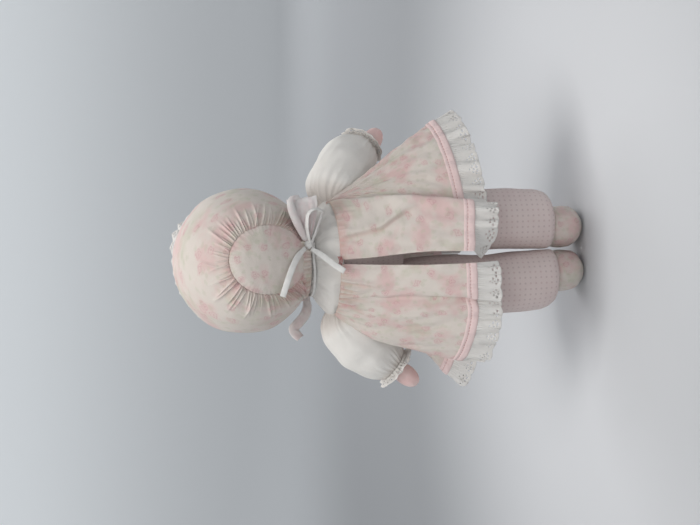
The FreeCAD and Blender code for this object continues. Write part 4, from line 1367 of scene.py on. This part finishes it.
# Each rib runs from the waist to the hem through four points, and the ribs go from the opening
# at the back round to the front. Where the cloth is folded, the ribs go back under each other.
RIGHT_RIBS = [
    [(3.0, 43, 256.5), (1.5, 56, 218), (-1.5, 73, 178), (-0.5, 85, 133.5)],
    [(-8, 43, 256.5), (-9, 58, 218), (-10, 74, 178), (-9, 87, 133)],
    [(-21, 41.5, 257), (-23, 57, 219), (-24, 74, 178), (-22, 87, 133)],
    [(-35, 36.5, 258), (-37, 54, 219), (-36, 72, 178), (-34, 86, 132)],
    [(-47, 29, 260), (-50, 48, 219), (-48, 69, 178), (-43, 84.5, 131.5)],
    [(-54.5, 20, 262), (-57.5, 41, 219), (-55, 64, 178), (-48, 81, 131.5)],
    [(-54.5, 17.5, 262), (-56.5, 37, 219), (-52, 59, 177), (-43, 75, 131.5)],
    [(-54.5, 16.5, 262.5), (-55, 34, 219), (-47, 54, 176), (-38, 69, 133)],
    [(-54.5, 16, 263), (-58, 31, 220), (-53, 49, 176), (-46, 62, 135)],
    [(-54.5, 15.5, 263), (-65, 29, 221), (-72, 43, 177), (-72, 55, 138)],
    [(-54.5, 15.5, 263.5), (-72, 25, 222), (-89, 35, 180), (-98, 44, 142)],
    [(-54, 15.5, 264), (-79, 20, 223), (-103, 24, 184), (-120, 29, 147)],
    [(-53.5, 14.5, 264.5), (-83.5, 13.5, 222), (-111, 13, 186), (-133, 13, 151.5)],
    [(-57, 7, 262), (-80, 4, 215), (-105, 0, 181), (-128, -4, 148)],
    [(-58.5, -4, 258), (-70, -14, 211), (-91, -24, 172), (-112, -34, 140)],
    [(-54, -18, 256), (-60, -32, 208), (-72, -50, 166), (-86, -64, 131)],
    [(-40, -31, 255), (-44, -47, 208), (-50, -64, 166), (-58, -79, 129)],
    [(-20, -40, 255), (-23, -54, 208), (-27, -68, 166), (-28, -83, 130)],
    [(0, -43, 255), (0, -57, 208), (0, -73, 166), (0, -87, 128)],
]
LEFT_RIBS = [
    [(7.0, 43.5, 256.5), (9, 56, 218), (11, 73, 178), (11, 86, 132)],
    [(16, 42.5, 256.5), (18, 58, 218), (20, 74, 178), (20, 87, 132)],
    [(26, 40.5, 257), (29, 57, 219), (31, 73, 178), (31, 86.5, 132)],
    [(35, 36.5, 257.5), (38, 53, 219), (40, 70, 178), (43.5, 84, 131.5)],
    [(38, 34, 258), (41, 49, 219), (43, 65, 178), (41, 78, 132)],
    [(41, 32.5, 258), (46, 49, 219), (48, 65, 178), (46, 77, 131.5)],
    [(46, 29.5, 258.5), (53, 47, 220), (57, 64, 178), (58, 78, 130)],
    [(52, 23.5, 259.5), (66, 41, 221), (74, 55, 179), (79, 67, 131.5)],
    [(55.5, 18, 260), (78, 33, 224), (88, 44, 182), (98, 52, 135)],
    [(56, 15, 260.5), (82, 25, 225), (94, 34, 184), (107, 38, 138.5)],
    [(56.5, 12.5, 260), (72, 16, 222), (86, 22, 180), (98, 27, 136)],
    [(58, 7, 258.5), (66, 8, 217), (84, 9, 177), (100, 12, 137)],
    [(58.5, -2, 257.5), (67, -7, 212), (92, -9, 172), (122, -10, 143)],
    [(57, -12, 256), (65, -24, 209), (87, -34, 168), (112, -42, 137)],
    [(49, -25, 255.5), (55, -40, 208), (69, -55, 166), (84, -68, 130)],
    [(33, -35.5, 255), (37, -50, 208), (43, -66, 166), (48, -81, 130)],
    [(15, -41.5, 255), (17, -56, 208), (20, -71, 166), (21, -86, 129)],
    [(0, -43, 255), (0, -57, 208), (0, -73, 166), (0, -87, 128)],
]


# The section of the binding that is folded round the hem, and where its stitches sink in.
SEWN_AT = -6.1
BINDING = [
    (-9.8, 0.2), (-9.5, 0.7), (-8.0, 0.9), (-6.5, 0.75), (SEWN_AT, 0.5), (-5.7, 0.95), (-4.0, 1.25),
    (-1.2, 1.2), (0.5, 0.8), (0.9, 0), (0.5, -0.8), (-1.2, -1.2), (-4.0, -1.3), (-9.5, -1.0)
]

# How wide the hem lace is, and how many times longer it is than the hem.
LACE_WIDTH, LACE_GATHER = 24.5, 1.34


def skirt_grid(ribs, columns, rows):
    """The skirt's cloth as a grid of points, evenly spaced round the hem."""
    net = np.array(ribs, float)
    coarse = through(net, np.linspace(0, len(ribs) - 1, 40 * len(ribs)))
    hem = along(coarse[:, -1])
    at = np.interp(
        np.linspace(0, hem[-1], columns), hem, np.linspace(0, len(ribs) - 1, len(coarse))
    )
    ribbed = through(net, at)
    grid = through(ribbed.swapaxes(0, 1), np.linspace(0, 3, rows))
    return grid


# The deep pleats beside the left half's opening: place along the waist, length, height and lean.
DEEP_PLEATS = [
     (15.5, 60, 3.2, 0.10), (22.0, 34, 2.8, 0.16), (27.5, 30, 3.4, 0.05), (33.0, 48, 3.6, 0.02),
    (38.5, 28, 3.0, 0.1)
]
# The heights of the loose fold that slants over the right half, and its place across at each.
FOLD_HEIGHTS, FOLD_PLACES = [170, 195, 217, 252], [-54, -43, -27, -20]


def crumple(grid, flat, side):
    """Gathers at the waist, long soft folds below them and small creases. It gives the height
    of the cloth at each point and how much painted shade it gets deep in a gather."""
    below, across = flat[..., 1], flat[..., 0]
    seed = 80 if side == "left" else 90
    draw = np.random.default_rng(seed)
    waist = along(grid[0])
    places = np.cumsum(draw.uniform(3.0, 8.0, 60))
    places = places[places < waist[-1]]
    size = draw.uniform(0.2, 1, len(places))
    lengths, heights, leans = 8 + 26 * size, 0.4 + 1.2 * size, draw.normal(0, 0.08, len(places))
    if side == "left":
        gathers = (places, lengths, heights, leans)
        places, lengths, heights, leans = map(np.append, gathers, zip(*DEEP_PLEATS))
    lift = pleats(waist, below, places, lengths, heights, leans, 1.0, 0.05)
    # Painted shade between the waist gathers.
    painted_shade = (1 - np.clip(lift / 1.2, 0, 1)) * fade(1, 16, below) * 0.45
    if side == "left":
        beside = pleats(
            waist, below, places + 2.6, lengths * 0.85, np.where(heights > 2, heights, 0.2), leans,
            0.9, 0.04
        )
        lift -= 0.35 * beside
        # Painted shade beside the deep pleats.
        painted_shade += 0.11 * beside
    long_fold = stacked(across, 0.16 * below)
    lift += 1.5 * wander(long_fold, 26, seed + 1) * ease(8, 60, below)
    lift += 0.5 * wander(stacked(across, 0.5 * below), 11, seed + 2) * ease(2, 30, below)
    return lift, painted_shade


def build_skirt(side, ribs):
    """One half of the skirt with its folded binding, stitches and hem lace."""
    sign, body = SIGNS[side], f"{side}_leg"
    grid = skirt_grid(ribs, 420, 90)
    flat = flat_of(grid)
    normal = normals(grid) * sign
    normal = normal * np.sign((normal * (grid - (0, 0, 200))).sum(-1).mean())
    lift, painted_shade = crumple(grid, flat, side)
    if side == "right":
        x, y, z = np.moveaxis(grid, -1, 0)
        back = (y > 25) & (x > -54)
        apart = x - np.interp(z, FOLD_HEIGHTS, FOLD_PLACES)
        fold = np.where(apart > 0, bell(apart, 1.6), bell(apart, 7.0))
        # Painted shade in the hollow beside the loose fold.
        painted_shade += 0.30 * bell(apart - 2.4, 1.8) * back * ease(176, 205, z) * fade(246, 256, z)
        lift += 5.2 * fold * back * ease(176, 205, z) * fade(250, 258, z)
    seam = 1 - ease(2, 7, flat[..., 0].max() - flat[..., 0])
    lift = lift * (1 - seam)
    cloth_points = grid + normal * lift[..., None]
    cloth = panel(
        f"skirt_{side}_cloth", cloth_points, flat + (0, 40 * (side == "left")), (0, 0, 200),
        folds=painted_shade
    )
    dressed(thicken(cloth, COTTON), "floral_cotton", [f"skirt_{side}"])
    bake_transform(cloth)

    edge = cloth_points[-1]
    down = unit(cloth_points[-1] - cloth_points[-5])
    out = normal[-1]
    far = along(edge)
    pucker = 0.22 * np.sin(far * TURN / 3.4 + wander(edge, 25, 95))
    rows, painted_shade = [], []
    for v, n in BINDING:
        rows.append(edge + down * v + out * (n + np.sign(n) * pucker[:, None] * (v < -3)))
        # Painted shade along the groove where the stitches sink in.
        painted_shade.append(np.full(len(edge), 0.5 if v == SEWN_AT else 0.0))
    bound = np.array(rows)
    binding = panel(
        f"hem_binding_{side}_tape", bound, flat_of(bound), edge.mean(0), folds=np.array(painted_shade)
    )
    dressed(binding, "pink_binding", [f"hem_binding_{side}"])
    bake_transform(binding)
    sewn = stitches(f"hem_stitches_{side}", edge + down * SEWN_AT + out * 0.7, out, 2.2, 1.0, 0.24)
    dressed(sewn, "mouth_thread")
    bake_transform(sewn)

    curl = bell(far, 16)[:, None] if side == "right" else bell(far, 9)[:, None] * 0.25
    fall = unit(
        down + np.array([0, 0, -0.35]) + curl * np.array([0.5 * (side == "right"), -1.5, 0.4])
    )
    lace = frill(
        f"hem_lace_{side}_frill", edge - down * 0.6, fall, out, LACE_WIDTH, LACE_GATHER, ripple=3.6,
        wave=25, seed=100 + sign
    )
    dressed(thicken(lace, LACE), "eyelet_lace", [f"hem_lace_{side}"])
    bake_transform(lace)


# ------------------------------------------------------------ legs and bootees


# Where each leg ends in its bootee, how far round from the back its seam runs, and how far to
# the side its middle line lies at some heights.
LEG_ENDS = {"left": 29.5, "right": 32.0}
LEG_SEAM = 2.35
LEG_RADIUS = 30
DOTS_ROUND, DOT_PITCH = 33, 5.6
LEG_HEIGHTS = [33, 44, 70, 104, 140]
LEG_CENTRES = {"left": [26.8, 30.8, 32.0, 34.6, 32.0], "right": [26.8, 31.0, 32.2, 32.8, 32.2]}


def own_side(points, sign):
    """Keeps a leg's points on its own side of the middle."""
    gap = 0.4
    points[:, 0] = np.where(points[:, 0] * sign < gap, sign * gap, points[:, 0])
    return points


def leg_middle(side, z):
    """How far to the doll's left a leg's middle line runs at heights z."""
    return SIGNS[side] * np.interp(z, LEG_HEIGHTS, LEG_CENTRES[side])


def build_leg(side):
    """A stuffed leg with a seam down it, gathered a little at the ankle, and its bootee."""
    sign, body = SIGNS[side], f"{side}_leg"
    low = LEG_ENDS[side]
    heights = np.array(
        [low, low + 0.9, low + 3.4, low + 8.5, low + 18, 75, 100, 130, 160, 180, 192, 201, 207]
    )
    radii = np.array([17.5, 23.0, 27.0, 29.8, 30.6, 31.0, 30.8, 30.4, 29.8, 28.8, 26.0, 20.5, 13.0])
    middle = leg_middle(side, heights)
    turn = circle(48)[None, :]
    grid = stacked(
        middle[:, None] + radii[:, None] * np.sin(turn), radii[:, None] * np.cos(turn),
        heights[:, None]
    )
    leg = solid_form(f"{side}_leg_cloth", grid)
    stuffed(leg, 3.6, 1.3, lambda p: p[:, 2] < low + 1.5)
    points = points_of(leg)
    centre = leg_middle(side, points[:, 2])
    angle = np.arctan2(points[:, 0] - centre, points[:, 1])
    away = unit(stacked(points[:, 0] - centre, points[:, 1], np.zeros(len(points))))
    arc = (angle - sign * LEG_SEAM) * LEG_RADIUS
    lift = -0.9 * bell(arc, 1.1) * (points[:, 2] > low + 6)
    lift += (
        0.6 * wander(stacked(angle * LEG_RADIUS, 0.35 * points[:, 2]), 26, 110 + sign)
        * ease(44, 70, points[:, 2])
    )
    lift += 0.8 * np.sin(angle * 24 + 2 * np.sin(angle * 3)) * bell(points[:, 2] - low - 3, 4.0)
    points = points + away * lift[:, None]
    set_points(leg, own_side(points, sign))
    wrap_round(leg, DOTS_ROUND * DOT_PITCH, (sign * 31, 0))
    dressed(soften(leg), "pin_dot_cotton", [f"{side}_leg", f"{side}_leg_stuffing"])
    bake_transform(leg)
    build_bootee(side, sign, body)


def build_bootee(side, sign, body):
    """A round-heeled stuffed bootee with a small flat sole."""
    at = span(f"{side}_shoe")[2]
    wide, long, tall = 22.2, 35.5, 19.4
    at = np.array([at[0] + 0.5 * sign, at[1], 20.0])
    tilt = np.linspace(0.05, math.pi - 0.05, 26)[:, None]
    turn = circle(48)[None, :]
    c, s = np.cos(turn), np.sin(turn)
    ring = np.sin(tilt) ** 0.8
    x = (wide - 1.0) * ring * np.sign(c) * np.abs(c) ** 0.9
    y = (long - 1.0) * np.sin(tilt) ** 0.5 * np.sign(s) * np.abs(s) ** 0.95
    z = (
        tall * np.sign(np.cos(tilt))
        * np.abs(np.cos(tilt)) ** np.where(np.cos(tilt) > 0, 0.85, 0.62)
        + 0 * turn
    )
    z = z - 9 * ease(-10, -36, y) * ease(2, 18, z)
    bootee = solid_form(f"{side}_bootee_cloth", at + stacked(x, y, z))
    stuffed(bootee, 2.6, 1.2, lambda p: p[:, 2] < 3.0)
    points = points_of(bootee)
    points[:, 2] = np.maximum(points[:, 2], 0.5)
    away = unit((points - at) * (1, 1, 0))
    rows = np.arctan2(points[:, 0] - at[0], points[:, 1] - at[1])
    seam = points[:, 2] - 5.0
    groove = 0.6 * bell(seam, 1.0) + 0.2 * np.sin(rows * 60) * bell(seam, 3)
    points = (
        points - away * groove[:, None] + away * (0.5 * wander(points, 13, 120 + sign))[:, None]
    )
    set_points(bootee, own_side(points, sign))
    wrap_round(bootee, TURN * 30, at, (0.7, 1.2), (200 + 90 * sign, 0))
    dressed(soften(bootee), "floral_cotton", [f"{side}_shoe"], body)

    turn = circle(120)
    outline = stacked(8.5 * np.sin(turn), 9 * np.cos(turn) + 10 * np.tanh(3 * np.cos(turn)))
    rows = [(0.02, 0.0), (0.6, 0.0), (0.94, 0.0), (1.0, 0.4), (0.97, 0.9), (0.6, 1.0), (0.02, 1.0)]
    x, y = outline.T
    grid = np.array(
        [stacked(at[0] + share * x, at[1] + share * y, height) for share, height in rows]
    )
    sole = panel(
        f"{side}_sole_cloth", grid, flat_of(grid, True) + (0, 70), at * (1, 1, 0) + (0, 0, 0.5),
        closed=True
    )
    dressed(sole, "floral_cotton", [f"{side}_sole"], body)


# ------------------------------------------------------------ stage, lights and camera


def build_stage():
    """A pale floor that curves up into a wall far away, all round; painted light makes it lighter
    round the doll and makes the far floor and the wall glow.
    """
    curve_from, wall, top = 2600.0, 3600.0, 3200.0
    bend = np.linspace(0, math.pi / 2, 12)
    reach = np.concatenate(
        [
            np.linspace(1, curve_from, 40), curve_from + (wall - curve_from) * np.sin(bend)[1:],
            [wall]
        ]
    )
    rise = np.concatenate([np.zeros(40), (wall - curve_from) * (1 - np.cos(bend))[1:], [top]])
    turn = circle(72)
    grid = stacked(reach[:, None] * np.cos(turn), reach[:, None] * np.sin(turn), rise[:, None])
    stage = panel("studio_floor", grid, flat_of(grid, True), (0, 0, -9e3), closed=True)
    look = Look("studio_paper_painted_light", roughness=0.95, sheen=0.0, specular=0.1)
    place = look.node("TexCoord", {}).outputs["Object"]
    away = look.node("VectorMath", {0: place}, operation="LENGTH").outputs["Value"]
    height = look.step(look.node("SeparateXYZ", {0: place}).outputs["Z"], 0.0, 1.0)
    # Painted light: the floor is lighter round the doll, darker beyond about a metre and lighter
    # again towards the wall.
    colour = look.mixed(look.step(away, 0.1, 1.0), (0.58, 0.585, 0.60), (0.29, 0.298, 0.31))
    colour = look.mixed(look.step(away, 1.5, 3.0), colour, (0.50, 0.513, 0.527))
    # Painted light: the far floor glows a little and the wall glows more, with no lamp there.
    painted_glow = look.mixed(look.step(away, 1.2, 2.9), (0, 0, 0), (0.075, 0.078, 0.082))
    painted_glow = look.mixed(height, painted_glow, (0.33, 0.347, 0.358))
    look.links.new(painted_glow, look.shader.inputs["Emission Color"])
    look.shader.inputs["Emission Strength"].default_value = 1.0
    look.finish(colour, look.noise(1.5, 1), 0.05)
    stage.data.materials.append(look.material)


def lamp(name, place, size, power, colour):
    """A round lamp aimed at the middle of the doll."""
    data = bpy.data.lights.new(name, "AREA")
    data.shape = "DISK"
    data.size = size
    data.energy = power
    data.color = colour
    made = bpy.data.objects.new(name, data)
    made.location = place
    made.rotation_euler = (Vector((0, 0, 0.25)) - Vector(place)).to_track_quat("-Z", "Y").to_euler()
    bpy.context.scene.collection.objects.link(made)


def build_lights():
    """Soft light from above the head end, with weaker lamps behind and before the doll."""
    world = bpy.data.worlds.new("studio_air")
    world.use_nodes = True
    air = world.node_tree.nodes["Background"]
    air.inputs["Color"].default_value = (0.87, 0.88, 0.90, 1)
    air.inputs["Strength"].default_value = 0.44
    bpy.context.scene.world = world
    lamp("top_light", (0.05, 0.75, 2.2), 1.7, 29, (1, 0.99, 0.97))
    lamp("back_light", (0.5, 2.0, 0.9), 1.3, 6, (1, 0.985, 0.96))
    lamp("front_light", (-0.7, -1.8, 1.3), 1.3, 18, (0.98, 0.985, 1))
    bpy.context.scene.view_settings.view_transform = "Standard"


def build_camera():
    """Behind the doll, a little above its middle and turned on its side."""
    elevation, distance, roll = math.radians(9), 1.5, math.radians(2.31)
    target = Vector((0.0058, 0, 0.2404))
    back = Vector((0, math.cos(elevation), math.sin(elevation)))
    upward = Vector((0, -math.sin(elevation), math.cos(elevation)))
    across = Vector((1, 0, 0))
    right = -math.cos(roll) * upward + math.sin(roll) * across
    up = -math.sin(roll) * upward - math.cos(roll) * across
    data = bpy.data.cameras.new("camera")
    data.lens, data.sensor_width = 77.1, 36
    camera = bpy.data.objects.new("camera", data)
    bpy.context.scene.collection.objects.link(camera)
    camera.matrix_world = Matrix((right, up, back)).transposed().to_4x4()
    camera.location = target + back * distance
    bpy.context.scene.camera = camera


# ------------------------------------------------------------ the doll

build_camera()
build_nape_bow()
build_bonnet()
build_band_and_brim()
build_trunk()
build_neck()
build_face(build_head())
build_chin_bow()
for arm in SIGNS:
    build_arm(arm)
build_skirt("right", RIGHT_RIBS)
build_skirt("left", LEFT_RIBS)
for leg in SIGNS:
    build_leg(leg)
build_stage()
build_lights()
